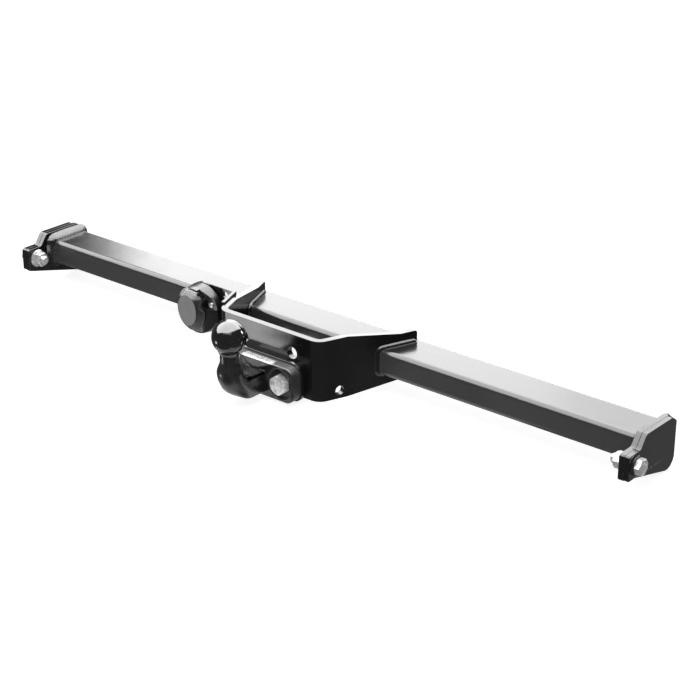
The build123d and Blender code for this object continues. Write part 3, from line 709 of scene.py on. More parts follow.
@dataclass(frozen=True)
class Thread:
    """A metric thread: its outer diameter and its pitch."""

    diameter: float
    pitch: float

    def radius(self, w: np.ndarray, angle: np.ndarray) -> np.ndarray:
        """Radius of the thread: a triangle wave of the height over the pitch less the share of a turn."""
        wave = np.abs(((w / self.pitch - angle / (2 * np.pi)) % 1.0) * 2 - 1)
        return self.diameter / 2 - 0.55 * self.pitch * np.clip(wave * 1.25 - 0.12, 0, 1)

    def cut(self, tip: float, length: float, bevel: float, columns: int) -> tuple[np.ndarray, np.ndarray]:
        """Radius and height of a shank's threaded rings, bevelled at the tip."""
        height = np.arange(tip, tip + length, self.pitch / 8)[:, None]
        return np.minimum(self.radius(height, ring(columns)), self.diameter / 2 - bevel + height - tip), height


def hexagon(flats: float, columns: int) -> np.ndarray:
    """Radius of a hexagon: half its flats over the cosine of the angle from the nearest flat's middle."""
    return flats / 2 / np.cos((ring(columns) + np.pi / 6) % (np.pi / 3) - np.pi / 6)


@dataclass(frozen=True)
class HexBolt:
    """A hexagon bolt: chamfered head with a shallow dish, washer face, shank and cut thread."""

    thread: Thread
    flats: float
    head: float
    grip: float
    threaded: float
    columns: int = 96

    def add_to(self, shell: Shell, seat: Seat) -> None:
        """Adds the bolt's surface, from the tip of its shank to the middle of its head.

        Args:
            shell: The piece that gets it.
            seat: Where the head's underside lies; the head stands on the way out.
        """
        tip, plain, head, flat = -self.grip, self.thread.diameter / 2, self.head, self.flats / 2
        shank, cut = self.thread.cut(tip, self.threaded, 0.9 * self.thread.pitch, self.columns)
        fade = np.clip((tip + self.threaded - cut) / (2 * self.thread.pitch), 0, 1)
        hexa, trim, face, dish = hexagon(self.flats, self.columns), 0.93 * flat, 0.35 * MM, head - 0.3 * MM
        top = head - (flat / math.cos(math.pi / 6) - trim) * CHAMFER * (1 - np.linspace(0, 1, 9)[:, None])
        crown = np.minimum(hexa, trim + (head - top) / CHAMFER)
        rows = [(0.0, tip), (shank * fade + plain * (1 - fade), cut), (plain, 0.0), (0.95 * flat, 0.0),
                (0.95 * flat, face), (hexa, face), (hexa, 0.5 * head), (crown, top)]
        rows += [(0.84 * flat, head), (0.80 * flat, dish), (0.77 * flat, dish), (0.0, dish)]
        shell.turn(seat, rows, self.columns)


@dataclass(frozen=True)
class HexNut:
    """A hexagon nut, chamfered at its corners, with a cut thread and maybe a flanged foot."""

    thread: Thread
    flats: float
    height: float
    collar: float = 0.0
    collar_height: float = 0.0
    columns: int = 96

    def add_to(self, shell: Shell, seat: Seat) -> None:
        """Adds the nut's surface: up the outside, over the top and down through the bore.

        Args:
            shell: The piece that gets it.
            seat: Where the nut's foot lies; the nut stands on the way out.
        """
        hexa, flat, bevel = hexagon(self.flats, self.columns), self.flats / 2, 0.9 * MM
        bore, trim, steps = self.thread.diameter / 2 + 0.12 * MM, 0.94 * flat, np.linspace(0, 1, 9)[:, None]
        drop = (flat / math.cos(math.pi / 6) - trim) * CHAMFER
        low, high = drop * steps, self.height - drop * (1 - steps)
        foot = [(np.minimum(hexa, trim + low / CHAMFER), low)]
        if self.collar:
            wide, lip = self.collar / 2, self.collar_height
            foot = [(wide - 0.5 * MM, 0.0), (wide, 0.4 * MM), (wide - 0.1 * MM, 0.9 * MM), (wide - 2.6 * MM, lip),
                    (hexa, lip + 0.1 * MM)]
        top = (np.minimum(hexa, trim + (self.height - high) / CHAMFER), high)
        down = np.linspace(self.height - bevel, bevel, 12)[:, None]
        rows = [(bore + bevel, 0.0), *foot, top, (bore + bevel, self.height), (bore, down)]
        shell.turn(seat, rows, self.columns, True)


@dataclass(frozen=True)
class Washer:
    """A punched washer: rounded on its upper edges."""

    inner: float
    outer: float
    height: float

    def add_to(self, shell: Shell, seat: Seat) -> None:
        """Adds the washer: its section is a rounded rectangle carried round a circle.

        Args:
            shell: The piece that gets it.
            seat: Where the washer's underside lies.
        """
        inner, outer, edge, turn = self.inner / 2, self.outer / 2, 0.4 * MM, np.linspace(0, np.pi / 2, 4)[:, None]
        sine, cosine, top = edge * np.sin(turn), edge * np.cos(turn), self.height - edge
        rows = [(inner, 0), (outer, 0), (outer - edge + cosine, top + sine), (inner + edge - sine, top + cosine)]
        shell.turn(seat, rows, 72, True)


# Sub-assemblies


@dataclass
class Piecework:
    """What every sub-assembly shares: the palette, and how its pieces are cut and handed over."""

    palette: Palette

    def hand_over(self, piece: bpy.types.Object, slot: Slot, node: str,
                  finish: Optional[bpy.types.Material] = None) -> bpy.types.Object:
        """Dresses a new piece and lets it stand for a CAD node, on that node's body.

        Args:
            piece: The new object.
            slot: The slot it takes its finish from.
            node: The CAD node that it replaces.
            finish: A material in place of the slot's usual one.

        Returns:
            The same object.
        """
        body = frame["nodes"][node].parent.name.split(":")[-1]
        self.palette.dress(piece, slot, finish)
        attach(piece, body)
        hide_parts(node)
        LOG.info("%s: %d faces for %s", piece.name, len(piece.data.polygons), node)
        return piece

    @staticmethod
    def carve(piece: bpy.types.Object, cutters: Sequence[Shell]) -> None:
        """Cuts closed shells out of a piece for good.

        Args:
            piece: The object to cut.
            cutters: What is taken away.
        """
        for number, cutter in enumerate(cutters):
            tool = cutter.build(f"{piece.name}_cutter_{number}")
            cut = piece.modifiers.new("cut", "BOOLEAN")
            cut.operation, cut.solver, cut.object = "DIFFERENCE", "EXACT", tool
            graph = bpy.context.evaluated_depsgraph_get()
            mesh = bpy.data.meshes.new_from_object(piece.evaluated_get(graph))
            piece.modifiers.clear()
            piece.data = mesh
            bpy.data.objects.remove(tool)

    @staticmethod
    def join(piece: bpy.types.Object, more: Shell) -> None:
        """Adds a closed shell to a piece's mesh.

        Args:
            piece: The object that grows.
            more: What is added.
        """
        extra = more.build(f"{piece.name}_more")
        with editing(piece.data) as work:
            work.from_mesh(extra.data)
        bpy.data.objects.remove(extra)

    @staticmethod
    def round_off(piece: bpy.types.Object, width: float) -> None:
        """Rounds a piece's sharp edges with a live Bevel.

        Args:
            piece: The object to round.
            width: How far the rounding reaches from the edge.
        """
        piece.data.shade_smooth()
        piece.data.set_sharp_from_angle(angle=math.radians(30))
        bevel = piece.modifiers.new("round", "BEVEL")
        bevel.width, bevel.segments, bevel.limit_method = width, 3, "ANGLE"
        bevel.angle_limit, bevel.harden_normals = math.radians(35), True

    def soften(self, node: str, slot: Slot, width: float) -> bpy.types.Object:
        """Copies a plate's or a moulding's CAD mesh and rounds its edges.

        The copy's loose triangles are merged and flat ones joined before a Bevel rounds each edge.

        Args:
            node: The CAD node to copy.
            slot: The slot it takes its finish from.
            width: How far the rounding reaches from the edge.

        Returns:
            The new object, which stands for the node.
        """
        mesh = frame["nodes"][node].data.copy()
        mesh.name = f"{node}_rounded"
        with editing(mesh) as work:
            bmesh.ops.remove_doubles(work, verts=work.verts, dist=1e-6)
            bmesh.ops.dissolve_limit(work, angle_limit=math.radians(0.4), verts=work.verts, edges=work.edges)
        piece = placed(mesh.name, mesh)
        self.round_off(piece, width)
        return self.hand_over(piece, slot, node)


@dataclass
class BarLines:
    """Where the crossbar's faces lie, read from its CAD node."""

    radius: float = 0.008
    low: np.ndarray = field(default_factory=lambda: np.array(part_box("crossbar")[0]))
    high: np.ndarray = field(default_factory=lambda: np.array(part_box("crossbar")[1]))

    def outline(self, share: np.ndarray) -> tuple[np.ndarray, ...]:
        """Walks round the bar's section from the rear of its top forwards, as walk_round does."""
        middle, half = (self.low + self.high)[1:] / 2, (self.high - self.low)[1:] / 2
        spot, normal, walked = walk_round(half, self.radius, (0, 1), share)
        return spot + middle, normal, walked


@dataclass
class WeldBeads(Piecework):
    """Fillet beads where the end plates and the bracket's cheeks meet the bar."""

    end_leg: float = 0.0104
    cheek_leg: float = 0.0044
    pitch: float = 0.0034
    half_width: float = 0.130
    cheek_rear: float = 0.232
    plate: float = 0.010
    fade: float = 0.006
    seed: int = 4

    def bead(self, bar: BarLines, share: np.ndarray, leg: float, fade: float = 0.0) -> tuple[np.ndarray, ...]:
        """A rippled bead that follows the bar.

        Its section runs round a fillet from the plate to the bar: a straight slope that bulges by a
        sine, scaled by ripples whose crests lag at the section's two toes, and by slow random waves.
        The corner that it fills closes it. It thins out towards open ends.

        Args:
            bar: The bar's faces.
            share: Share of the way round the bar at each section.
            leg: The fillet's leg.
            fade: Length over which each end thins out, or 0 for a closed bead.

        Returns:
            Y, Z and distance from the plate, sections by points.
        """
        spot, normal, walked = bar.outline(share)
        rng = np.random.default_rng(self.seed)
        waves = sum(
            rng.uniform(0.3, 1.0) * np.sin(walked / rng.uniform(0.006, 0.03) + rng.uniform(0, 6)) for _ in range(5)
        )
        height = np.linspace(0, 1, 11)[None, :]
        lag = 0.55 * self.pitch * np.cos(np.pi * (height - 0.5)) ** 2
        ripple = 1 - np.abs(np.sin(np.pi * (walked[:, None] + lag) / self.pitch)) ** 0.7
        size = leg * (1 + 0.02 * waves[:, None] - 0.035 * ripple)
        if fade:
            ends = np.minimum(walked - walked[0], walked[-1] - walked) / fade
            size = size * np.sqrt(np.clip(ends, 0, 1))[:, None]
        bulge, root = 0.07 * np.sin(np.pi * height), np.zeros((len(walked), 1))
        off, up = np.hstack([size * (1 - height + bulge), root]), np.hstack([size * (height + bulge), root])
        return spot[:, :1] + normal[:, :1] * off, spot[:, 1:] + normal[:, 1:] * off, up

    def end_beads(self, bar: BarLines) -> None:
        """Makes the closed beads round the bar on both end plates.

        Args:
            bar: The bar's faces.
        """
        shell = Shell()
        y, z, up = self.bead(bar, np.linspace(0, 1, 900, endpoint=False), self.end_leg)
        for side in (-1, 1):
            shell.add_rings(np.stack([side * (bar.high[0] - up), y, z], -1), True)
        self.hand_over(shell.build("end_plate_beads", 50), Slot.WELD, "end_plate_welds")

    def cheek_beads(self, bar: BarLines) -> None:
        """Makes the open beads round the bar at both faces of each cheek, ending at the cheeks' rear.

        Args:
            bar: The bar's faces.
        """
        shell, r = Shell(), bar.radius
        wide, tall = (bar.high - bar.low)[1:] - 2 * r
        whole = 2 * (wide + tall + np.pi * r)
        skip = (bar.high[1] - r - self.cheek_rear) / whole
        share = np.linspace(skip, (2 * wide + tall + np.pi * r) / whole - skip, 620)
        y, z, up = self.bead(bar, share, self.cheek_leg, self.fade)
        for side in (-1, 1):
            for inset, way in ((0.0, 1), (self.plate / math.cos(SPLAY), -1)):
                face = self.half_width - inset + (y - bar.low[1]) * math.tan(SPLAY)
                shell.add_rings(np.stack([side * (face + way * up), y, z], -1))
        coat = self.palette.materials[Slot.PAINT]
        self.hand_over(shell.build("cheek_beads", 50), Slot.WELD, "bracket_welds", coat)


@dataclass
class ForgedBall(Piecework):
    """The tow ball: ball, neck, bent arm and ribbed root in one sweep, and the flange behind it."""

    ball: float = 0.025
    neck: float = 0.014
    throat: float = 0.0025
    throat_span: Pair = (-0.027, -0.0195)
    neck_end: float = -0.036
    arm_wide: float = 0.020
    arm_tall: float = 0.018
    bend: float = 0.027
    centre: float = -0.0795
    face: float = 0.0545
    back: float = 0.0715
    half_length: float = 0.069
    half_height: float = 0.027
    corner: float = 0.014
    rim: float = 0.0019
    hole_at: float = 0.045
    spot: float = 0.0215
    spot_depth: float = 0.004
    spot_wall: float = 0.0007
    lip_height: float = 0.0009
    lip_gap: float = 0.0022
    lip_width: float = 0.0011
    lip_end: float = 0.0669
    swell: float = 0.00007
    top_drop: float = 0.0030
    root_angles: tuple[float, ...] = (-90, -71, -64, -51, -25, 0, 15, 25, 31, 36, 45, 90)
    root_reach: tuple[float, ...] = (26.0, 27.3, 26.6, 21.7, 20.6, 21.0, 23.2, 27.5, 36.5, 43.0, 44.0, 44.0)
    root_depth: tuple[float, ...] = (40, 34, 26, 12, 5, 4, 6, 12, 12, 9, 6, 6)
    root_flare: tuple[float, ...] = (1.8, 1.8, 1.8, 1.8, 1.8, 1.8, 1.8, 1.8, 1.6, 1.2, 0.9, 0.9)
    crest: float = 0.0264
    notch_foot: float = 0.0151
    notch_at: float = 0.0481
    notch_steep: float = 1.76
    notch_turn: float = 0.21
    edge: float = 0.0004
    flat_edge: float = 0.0016

    def line(self) -> tuple[np.ndarray, ...]:
        """The bent line that the forging follows.

        It runs straight down from the ball's top, round a quarter circle and straight back to the
        flange, with its last points ever closer together.

        Returns:
            Y, Z and lean of each ring, and how far each lies before the flange's face.
        """
        turn_z = self.centre + self.bend
        dome = self.ball * np.cos(np.linspace(0, 2.3, 90))
        drop = np.concatenate([dome, np.linspace(dome[-1], turn_z, 70)[1:]])
        quarter, still = np.linspace(0, np.pi / 2, 44)[1:], np.zeros(len(drop))
        room = self.face - self.bend
        before = room * (1 - np.linspace(0, 1, 70)[1:]) ** 2.2
        level = np.ones(len(before) + 1)
        y = np.concatenate([still, self.bend * (1 - np.cos(quarter)), self.face - before, [self.face + 0.001]])
        z = np.concatenate([drop, turn_z - self.bend * np.sin(quarter), level * self.centre])
        lean = np.concatenate([still, quarter, level * np.pi / 2])
        ahead = np.concatenate([still + 1.0, room + self.bend * (np.pi / 2 - quarter), before, [0.0]])
        return y, z, lean, ahead

    def root(self, arm: np.ndarray, y: np.ndarray, ahead: np.ndarray, angle: np.ndarray) -> np.ndarray:
        """Spreads the arm's rings into the root at the flange, with a notch at its top.

        Towards the flange a ring grows from the arm to a wider outline. Below, it grows by a hollow
        fillet, 1 - sqrt(1 - s * s), and above by a ramp, s ^ flare, so that two ribs rise to the
        flange's upper corners. A steep plane, foot + steep * (y - at), cuts the ribs off at the top.
        Walls, |x| < (y - at) / turn, undercut the plane, which leaves a triangle that hangs from the
        flange's upper edge. All these meet in slightly rounded edges.

        Args:
            arm: Radius of the plain arm, rings by columns.
            y: Where each ring lies.
            ahead: How far each ring lies before the flange's face.
            angle: Direction of each column.

        Returns:
            Radius of each ring and column.
        """
        rise, aside = np.sin(angle), np.abs(np.cos(angle))
        fold = np.degrees(np.arctan2(rise, aside))[0]
        goal = np.interp(fold, self.root_angles, np.array(self.root_reach) * MM)
        goal = soft_least(goal, self.crest / np.maximum(rise[0], 0.05), self.edge)
        depth = np.interp(fold, self.root_angles, np.array(self.root_depth) * MM)
        share = np.clip(1 - ahead[:, None] / depth, 0, 1)
        ramp = smooth_step(fold, 15, 35)
        flare = np.interp(fold, self.root_angles, self.root_flare)
        growth = ramp * share**flare + (1 - ramp) * (1 - np.sqrt(1 - share**2))
        grown = arm + np.maximum(goal - arm[-1], 0.0008) * growth
        plane = np.minimum(self.notch_foot + self.notch_steep * (y - self.notch_at), self.crest)[:, None]
        wall = np.clip(y - self.notch_at, 0, None)[:, None] / (self.notch_turn * np.maximum(aside, 0.02))
        limit = np.where(rise > 0.05, np.minimum(plane / np.maximum(rise, 0.05), wall), 1.0)
        return soft_least(grown, soft_most(limit, arm, self.edge), self.edge)

    def sweep(self) -> np.ndarray:
        """The ball, neck, arm and root as rings along the bent line.

        Each ring goes from an ellipse, 1 / sqrt((cos / a) ^ 2 + (sin / b) ^ 2), to a rectangle with
        rounded corners, the smaller of a / |cos| and b / |sin|, as the line leans over. Its half
        sizes go from the ball's circle to the neck's and on to the arm's by smooth steps. The arm's
        upper half gets a little lower towards the root.

        Returns:
            Points as rings by columns by 3.
        """
        y, z, lean, ahead = self.line()
        upright = lean == 0
        sphere = np.sqrt(np.clip(self.ball**2 - z**2, 0, None))
        throat = self.neck + self.throat * smooth_step(z, *self.throat_span)
        grow = np.where(upright, smooth_step(-z, -self.neck_end - 0.001, -(self.centre + self.bend) + 0.0015), 1.0)
        slim = np.where(upright, throat, self.neck)
        wide, tall = (np.where(upright & (z > self.throat_span[1]), sphere, slim + (half - self.neck) * grow)
                      for half in (self.arm_wide, self.arm_tall))
        angle = ring(192)
        c, s = np.cos(angle), np.sin(angle)
        wide = np.maximum(wide, 1e-9)[:, None]
        upper = np.where(s > 0, self.top_drop * smooth_step(y, 0.0, 0.036)[:, None], 0.0)
        tall = np.maximum(tall[:, None] - upper, 1e-9)
        oval = 1 / np.sqrt((c / wide) ** 2 + (s / tall) ** 2)
        block = soft_least(wide / np.maximum(np.abs(c), 0.02), tall / np.maximum(np.abs(s), 0.02), self.flat_edge)
        flat = smooth_step(np.degrees(lean), 25.0, 80.0)[:, None]
        arm = oval * (1 - flat) + block * flat
        reach = np.where(upright[:, None], arm, self.root(arm, y, ahead, angle))
        a, b = reach * c, reach * s
        return np.stack([a, y[:, None] + b * np.cos(lean)[:, None], z[:, None] + b * np.sin(lean)[:, None]], -1)

    def flange(self) -> np.ndarray:
        """The flange as rings that run from the middle of its back, over its rim and across its face.

        Each ring is the flange's rounded outline shrunk towards a line between the bolts. The face
        falls off at the rim by a quarter circle and drops into a flat round seat at each bolt, with
        a low lip about it. Everything else has a small uneven swell, a sum of slow random waves.

        Returns:
            Points as rings by columns by 3.
        """
        share, quarter = 1 - np.linspace(0, 1, 80) ** 1.15, np.linspace(0, np.pi / 2, 7)
        rim, normal, _ = walk_round((self.half_length, self.half_height), self.corner, (1, 0),
                                    np.linspace(0, 1, 420, endpoint=False))
        spine = np.stack([np.clip(rim[:, 0], -self.hole_at, self.hole_at), 0 * rim[:, 1]], -1)
        inward = spine + (rim - normal * self.rim - spine) * share[:, None, None]
        over = rim - normal * (self.rim * (1 - np.cos(quarter)))[:, None, None]
        x, w = inward[..., 0], inward[..., 1]
        away = np.hypot(np.abs(x) - self.hole_at, w)
        seat = smooth_step(away, self.spot - self.spot_wall, self.spot + self.spot_wall)
        lip = self.lip_height * np.exp(-(((away - self.spot - self.lip_gap) / self.lip_width) ** 2))
        rng = np.random.default_rng(11)
        swell = sum(
            rng.uniform(0.4, 1.0)
            * np.sin(x * rng.uniform(200, 700) + w * rng.uniform(-700, 700) + rng.uniform(0, 6))
            for _ in range(9)
        )
        height = -self.spot_depth * (1 - seat) + lip * (np.abs(x) < self.lip_end)
        height = height + self.swell * swell * (away > self.spot)
        plan = np.concatenate([np.stack([spine * 0.999, rim * 0.985, rim]), over, inward[1:]])
        level = np.append([self.face - self.back] * 3, self.rim * (np.sin(quarter) - 1))
        rise = np.concatenate([np.repeat(level[:, None], len(rim), 1), height[1:]])
        return np.stack([plan[..., 0], self.face - rise, self.centre + plan[..., 1]], -1)

    def build(self) -> None:
        """Joins the sweep and the flange into the forging."""
        shell = Shell().add_rings(self.sweep()).add_rings(self.flange())
        self.hand_over(shell.build("forged_ball", 50), Slot.FORGED, "tow_ball")


@dataclass
class Fasteners(Piecework):
    """Bolts, nuts and washers of the ears and the flange."""

    ear: Pair = (0.13925, -0.06325)
    bar_half: float = 0.565
    plate: float = 0.008
    washer: float = 0.0025
    flange_x: float = 0.045
    flange_z: float = -0.0795
    seat_y: float = 0.0585
    web_rear: float = 0.0895
    ear_turn: float = 0.4
    ball_turn: float = 0.1

    def fit(self, name: str, node: str, parts: Sequence[Any], seats: Sequence[Sequence[Seat]],
            finishes: Sequence[Optional[bpy.types.Material]]) -> None:
        """Builds the bolts, the washers and the nuts of one place as three pieces.

        Args:
            name: Start of the pieces' names.
            node: Start of the CAD nodes' names.
            parts: The bolt, the washer and the nut.
            seats: For each of the two sides, the seats of these three.
            finishes: Materials in place of zinc plate, or None.
        """
        for number, kind in enumerate(("bolts", "washers", "nuts")):
            shell = Shell()
            for side in seats:
                parts[number].add_to(shell, side[number])
            self.hand_over(shell.build(f"{name}_{kind}"), Slot.ZINC, f"{node}_{kind}", finishes[number])

    def ears(self) -> None:
        """Bolts, washers and collared nuts of the side brackets."""
        thread, seats = Thread(diameter=0.014, pitch=0.002), []
        bolt = HexBolt(thread, flats=0.021, head=0.0088, grip=0.0385, threaded=0.024)
        nut = HexNut(thread, flats=0.021, height=0.014, collar=0.029, collar_height=0.003)
        washer = Washer(inner=0.015, outer=0.028, height=self.washer)
        for side in (-1, 1):
            outer = self.bar_half + 2 * self.plate
            across = (0.0, math.cos(self.ear_turn), math.sin(self.ear_turn) * side)
            places = ((outer + self.washer, side), (outer, side), (self.bar_half, -side))
            seats.append([Seat((side * x, *self.ear), (way, 0, 0), across) for x, way in places])
        coat = self.palette.materials[Slot.PAINT]
        self.fit("ear", "side", (bolt, washer, nut), seats, (None, coat, None))

    def flange(self) -> None:
        """The two large bolts of the ball, and the nuts and washers behind the web."""
        thread, rear = Thread(diameter=0.018, pitch=0.0025), self.web_rear
        bolt = HexBolt(thread, flats=0.027, head=0.0115, grip=0.0545, threaded=0.026)
        nut = HexNut(thread, flats=0.027, height=0.015)
        washer = Washer(inner=0.019, outer=0.034, height=self.washer)
        across = (math.cos(self.ball_turn), 0.0, math.sin(self.ball_turn))
        places = ((self.seat_y, FORWARD), (rear, REARWARD), (rear + self.washer, REARWARD))
        seats = [[Seat((x, y, self.flange_z), way, across) for y, way in places]
                 for x in (-self.flange_x, self.flange_x)]
        # The ball's bolts take the paler zinc copy, which paints in the light they catch.
        self.fit("ball", "flange", (bolt, washer, nut), seats, (self.palette.pale_zinc, None, None))


@dataclass
class Plates(Piecework):
    """Bent and cut plates, whose sheared edges are rounded by the coat."""

    width: float = 0.0008

    def build(self) -> None:
        """Rounds the edges of every plate."""
        ends = [f"{kind}_{side}" for kind in ("end_plate", "side_bracket") for side in ("left", "right")]
        for node in (*ends, "centre_bracket", "spacer_plate", "socket_plate"):
            self.soften(node, Slot.PAINT, self.width)


@dataclass
class Socket(Piecework):
    """The trailer socket on its plate: moulded body, sprung lid, contacts and what holds them."""

    x: float = -0.181
    z: float = -0.0465
    radius: float = 0.039
    front: float = 0.118
    gasket_front: float = 0.136
    plate_front: float = 0.138
    plate_rear: float = 0.143
    mouth_x: float = -0.1875
    mouth_radius: float = 0.017
    lid_x: float = -0.1905
    hinge_y: float = 0.1125
    hinge_z: float = -0.0155
    hinge_swing: float = 0.0052
    knuckle: float = 0.0032
    ear_starts: Pair = (-0.012, 0.008)
    ear_width: float = 0.004
    ear_bore: float = 0.00126
    hood_span: Pair = (75.5, 104.5)
    hood_ahead: float = 0.0016
    hood_drop: Pair = (0.0013, 0.0009)
    hood_chamfer: float = 0.0012
    cover_span: Pair = (30.0, 140.0)
    cover_half: float = 0.0121
    cover_inner: float = 0.00345
    taper: float = math.tan(math.radians(7))
    front_round: float = 0.0018
    rear_round: float = 0.0006
    key: Pair = (-0.1663, -0.0200)
    key_radius: float = 0.0027
    screw_circle: float = 0.0275
    screw_floor: float = 0.127
    screw_angle: float = math.radians(27)
    screw_well: float = 0.0046
    pocket_radius: float = 0.010
    pocket_reach: float = 0.020
    bite: float = 0.0108
    slope_from: float = 0.010
    slope_length: float = 0.027
    slope_drop: float = 0.0088
    lid_rear: float = 0.1177
    lid_depth: float = 0.010
    lid_half: Pair = (0.0285, 0.0350)
    lid_shrink: Pair = (0.0090, 0.0055)
    lid_rise: float = 0.0045
    lid_rim: float = 0.0006
    lid_middle: float = -0.042
    lid_lean: float = 0.16
    edge: float = 0.0003

    def at(self, y: float, x: Optional[float] = None) -> Seat:
        """A seat on the socket's axis, or at another X, that faces the rear."""
        return Seat((self.x if x is None else x, y, self.z), REARWARD)

    @staticmethod
    def rod(spot: Pair, radius: float, near: float, far: float, columns: int = 64) -> Shell:
        """A closed rod along Y round an X and Z, from its front end to its rear end."""
        rows = [(radius, 0.0), (radius, far - near)]
        return Shell().turn(Seat((spot[0], near, spot[1]), REARWARD), rows, columns)

    def tube(self, shell: Shell, x: float, bore: float, width: float) -> None:
        """Adds a chamfered hinge tube along X.

        Args:
            shell: The piece that gets it.
            x: Where it starts.
            bore: Radius of its bore.
            width: Its length.
        """
        wide, edge = self.knuckle, self.edge
        rows = [(bore, 0), (wide - edge, 0), (wide, edge), (wide, width - edge), (wide - edge, width),
                (bore, width)]
        shell.turn(Seat((x, self.hinge_y, self.hinge_z), ACROSS, REARWARD), rows, wrap=True)

    def screw_spots(self) -> list[Pair]:
        """X and Z of the three screws."""
        turns, r = [self.screw_angle + 2 * math.pi * k / 3 for k in range(3)], self.screw_circle
        return [(self.x + r * math.cos(a), self.z + r * math.sin(a)) for a in turns]

    def hood(self) -> Shell:
        """The flat-bottomed hood over the hinge, a wall about the socket's axis with a chamfered front.

        Returns:
            The hood's shell.
        """
        turn = np.radians(np.linspace(*self.hood_span, 15))[:, None]
        low = (self.hinge_z + self.hinge_swing - self.z) / np.sin(turn)
        flat, (high, back) = 0 * low, (self.radius - drop for drop in self.hood_drop)
        near, far = self.hinge_y - self.hood_ahead, self.front + MM
        chamfer = np.minimum(self.hood_chamfer, 0.4 * (high - low))
        radius = np.hstack([low, high - chamfer, high + flat, back + flat, low])
        y = np.hstack([near + flat, near + flat, near + chamfer, far + flat, far + flat])
        x, z = self.x + radius * np.cos(turn), self.z + radius * np.sin(turn)
        return Shell().add_rings(np.stack([x, y, z], -1))

    def cover(self) -> Shell:
        """The lid's cover before the hinge: a slice of a tube that spans angles from straight down.

        Returns:
            The cover's shell.
        """
        turn = np.radians(np.linspace(*self.cover_span, 19))[:, None]
        half, edge, inner, outer = self.cover_half, self.edge, self.cover_inner, self.hinge_swing - 0.1 * MM
        radius = np.array([[inner, inner, outer - edge, outer, outer, outer - edge]])
        x = self.x + np.array([[half, -half, -half, -half + edge, half - edge, half]]) + 0 * turn
        y, z = self.hinge_y - radius * np.sin(turn), self.hinge_z - radius * np.cos(turn)
        return Shell().add_rings(np.stack([x, y, z], -1))

    def pocket(self, spot: Pair) -> Shell:
        """The screw's recess: a half circle with straight sides that run out through the wall.

        Args:
            spot: X and Z of the screw.

        Returns:
            The shell to cut away.
        """
        turn, r = np.linspace(np.pi / 2, 3 * np.pi / 2, 33), self.pocket_radius
        x, y = np.append(r * np.cos(turn), [self.pocket_reach] * 2), np.append(r * np.sin(turn), [-r, r])
        near, across = self.front - 0.004, (math.cos(self.screw_angle), 0.0, math.sin(self.screw_angle))
        depth = np.array([[0.0], [self.screw_floor - near]]) + 0 * x
        seat = Seat((spot[0], near, spot[1]), REARWARD, across)
        return Shell().add_rings(seat.put(x + 0 * depth, y + 0 * depth, depth))

    def housing(self) -> None:
        """The moulded body: a tapered drum that falls away to the right of the lid.

        Its section goes round a small edge at the rear, along a slope and round a wider edge at the
        front. Every point then goes back by drop * s ^ 1.5 * f, where s is how far it lies along the
        slope in X and f how far to the front it lies.
        """
        edge, small, rear = self.front_round, self.rear_round, self.gasket_front
        turn, y = np.linspace(0, np.pi / 2, 7)[1:], np.linspace(rear - small, self.front + edge, 9)
        side = self.radius - (rear - y) * self.taper
        rows = [(0.0, rear), (self.radius - small, rear), *zip(side, y)]
        rows += zip(side[-1] - edge * (1 - np.cos(turn)), self.front + edge * (1 - np.sin(turn)))
        rows += [(rows[-1][0] * share, self.front) for share in np.linspace(0.96, 0, 16)]
        angle = ring(192)
        radius, depth = (np.array(column)[:, None] + 0 * angle for column in zip(*rows))
        x, z = self.x + radius * np.cos(angle), self.z + radius * np.sin(angle)
        share = np.clip((x - self.x - self.slope_from) / self.slope_length, 0, 1) ** 1.5
        depth = depth + self.slope_drop * share * np.clip((rear - depth) / (rear - self.front), 0, 1)
        piece = Shell().add_rings(np.stack([x, depth, z], -1)).build("moulded_housing", 40)
        spots, near = self.screw_spots(), self.front - 0.008
        key = self.rod(self.key, self.key_radius, self.front - 0.004, self.front + 0.005, 4)
        mouth = self.rod((self.mouth_x, self.z), self.mouth_radius, near, rear + 0.004)
        wells = [self.rod(spot, self.screw_well, near, self.screw_floor) for spot in spots[1:]]
        self.carve(piece, (mouth, self.pocket(spots[0]), key, *wells))
        ears, width = self.hood(), self.ear_width
        for start in (self.x + at for at in self.ear_starts):
            self.tube(ears, start, self.ear_bore, width)
            foot = (start, self.hinge_y, self.hinge_z - self.knuckle)
            ears.box(foot, (start + width, self.front + MM, self.hinge_z))
        self.join(piece, ears)
        self.round_off(piece, self.edge)
        self.hand_over(piece, Slot.PLASTIC, "socket_housing")

    def lid_drum(self) -> Shell:
        """The lid's outside: ellipses that shrink and shift towards the face, with soft edges.

        The upper half leans back: a point above the face's middle comes down by lean * t * height,
        where t is how far to the front it lies.

        Returns:
            The drum's shell.
        """
        turn, (wide, tall), (narrow, short) = np.linspace(0, np.pi / 2, 9), self.lid_half, self.lid_shrink
        rows = [(0.0, 1.0), (0.0, self.lid_rim / wide), (0.05, 0.0)]
        rows += [(t, 0.0) for t in np.linspace(0.1, 0.78, 9)]
        rows += zip(0.8 + 0.2 * np.sin(turn), 0.11 * (1 - np.cos(turn)))
        rows += [(1.0, inset) for inset in np.linspace(0.16, 1.0, 12)]
        t, inset = (np.array(column)[:, None] for column in zip(*rows))
        angle = ring(192)
        half_x, half_z = (wide - narrow * t) * (1 - inset), (tall - short * t) * (1 - inset)
        x, z = self.lid_x + half_x * np.cos(angle), self.z + self.lid_rise * t + half_z * np.sin(angle)
        z = z - self.lid_lean * t * np.clip(z - self.lid_middle, 0, None)
        return Shell().add_rings(np.stack([x, self.lid_rear - self.lid_depth * t + 0 * angle, z], -1))

